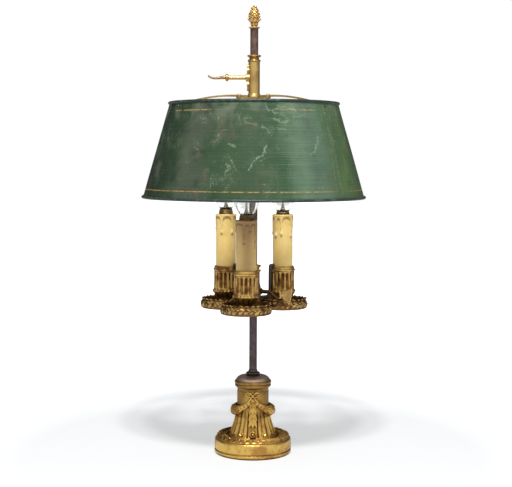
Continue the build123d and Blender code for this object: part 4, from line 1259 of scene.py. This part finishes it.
# %% Pan borders
pan_low = 202.8
rope_leaves, slope_leaves = 28, 20
rope_rows = ((0, 5.2, 34.4, 1, 0.1), (6.4, 9.4, 33.6, -1, 0.9))      # turn, height, radius, lean, rise
slanting = leaf_form(8.4, 4.4, 1.25, taper=0.4, curl=1.2)
inner_leaf = leaf_form(6.6, 4.2, 1.0, taper=0.4, curl=1.2)
berry = bead_form(1.35)
bm = bmesh.new()
for bearing in light_bearings.values():
    centre, *_ = round_about(bearing, light_circle, pan_low)
    for place in range(rope_leaves):
        spoke = place * 360 / rope_leaves
        for turn, height, radius, lean, rise in rope_rows:
            turned = spoke + turn + dice.uniform(-2, 2)
            size = dice.uniform(0.8, 1.2)
            lay(bm, slanting, (turned, radius, height), (0.3, lean, dice.uniform(0.3, 1.2)), (1, 0, rise),
                (size, size, size * 1.1), centre)
        lay(bm, inner_leaf, (spoke + 3, 32.8, 13.0), (0.9, dice.uniform(-1.4, 1.4), 0.5), (-0.3, 0, 1),
            centre=centre)
        if place % 2:
            lay(bm, berry, (spoke + 9, 31.2, 12.6), (0, 1, 0), (0, 0, 1), centre=centre)
    for place in range(slope_leaves):
        lay(bm, inner_leaf, (place * 360 / slope_leaves, 27.4, 7.2), (1, 0.5 if place % 2 else -0.5, 0.6),
            (-0.5, 0, 1), centre=centre)
finish_piece(bm, "pan_leaves", "candelabra", [gilt_pan])

# %% [markdown]
# ## Finial
# The finial is a pine cone in a calyx. Its scales sit in rows, each row turned by half a
# scale, and get smaller towards the tip.

# %% Finial
finial_low, cone_low, cone_high = 599.2, 611.0, 629.5
calyx_count = 9


def cone_radius(height):
    share = clamp((height - cone_low) / (cone_high - cone_low))
    return 8.6 * (1 - share ** 2.6) ** 0.6 * (0.88 + 0.12 * math.sin(math.pi * min(1, share * 2)))


core = profile((0, finial_low), (4.2, finial_low), ((3.3, 602.8), (4.6, 605.8)),
               ((6.6, 608.4), (7.2, cone_low)))
core += [(max(0.0, cone_radius(h) - 1.2), h) for h in (612.5, 615, 617.5, 620, 622.5, 625, 627)]
bm = spun(core + [(0, cone_high)], 48)
for row in range(8):
    height = cone_low + 1.2 + 2.15 * row
    count = 10 if row < 5 else 7
    scale = leaf_form(4.2 - 0.16 * row, 4.0 - 0.22 * row, 1.5, taper=0.3)
    lean = (cone_radius(height + 0.8) - cone_radius(height - 0.8)) / 1.6
    for place in range(count):
        bearing = 360 / count * (place + 0.5 * (row % 2))
        lay(bm, scale, (bearing, cone_radius(height) - 1.1, height), (lean + 0.7, 0, 1), (1, 0, -lean))
calyx = leaf_form(7.6, 5.4, 1.0, taper=0.2, curl=1.0)
for place in range(calyx_count):
    bearing = 360 / calyx_count * place
    lay(bm, calyx, (bearing, 6.9, 608.4), (0.66, 0, 1), (1, 0, -0.66))
    lay(bm, calyx, (bearing + 20, 4.5, 603.2), (0, 0, 1), (1, 0, 0), (0.65, 0.55, 0.8))
finish_piece(bm, "finial_cone", "base", [gilt_finial], ["finial"], angle=50)

# %% [markdown]
# ## Shell of the lower key
# The lower key's thumb piece is a scallop shell: a fan with ribs and a scalloped edge,
# hollowed like a spoon. It is a grid that is folded to a fan and then thickened. The fan
# opens away from the stem, and two pearls and two curled leaves cover its hinge.

# %% Key shell
rib_count = 7
shell_reach = 18.6
fan_half = math.radians(29)
bm = bmesh.new()
bmesh.ops.create_grid(bm, x_segments=56, y_segments=20, size=1.0)
hinge, out, side, up = round_about(key_bearing, shell_start - 2.5, 227.0)
for vert in bm.verts:
    across, far = vert.co.x, (vert.co.y + 1) / 2
    rib = abs(math.cos(math.pi * rib_count / 2 * across))
    reach = 2.2 + far * (shell_reach + 1.5 * across * across + rib)
    angle = fan_half * across
    bulge = 1.2 + 2.6 * far * far - 1.8 * math.sin(math.pi * far) * (1 - across * across) + 0.8 * rib * far
    lean = 0.3 * math.sin(angle) * reach
    fan = up * math.sin(angle) * reach + out * math.cos(angle) * reach
    vert.co = (hinge + fan + side * (lean - bulge)) * mm
bmesh.ops.recalc_face_normals(bm, faces=bm.faces)
bmesh.ops.solidify(bm, geom=bm.faces[:], thickness=1.1 * mm)
knuckle, pearl = bead_form(3.0), bead_form(1.7)
curled = leaf_form(7.0, 3.4, 1.1, taper=0.4, curl=2.0)
stamp(bm, knuckle, set_down(hinge + out * 0.4, out, side))
for away in (-up, up):
    stamp(bm, pearl, set_down(hinge + away * 3.2 - side * 1.6, out, side))
    stamp(bm, curled, set_down(hinge + away * 4.4 + out * 5.0, out + away * 0.5, away - side * 0.6))
finish_piece(bm, "key_shell", "lower_key", [gilt_bright])

for form in [mesh for mesh in bpy.data.meshes if mesh.users == 0]:
    bpy.data.meshes.remove(form)
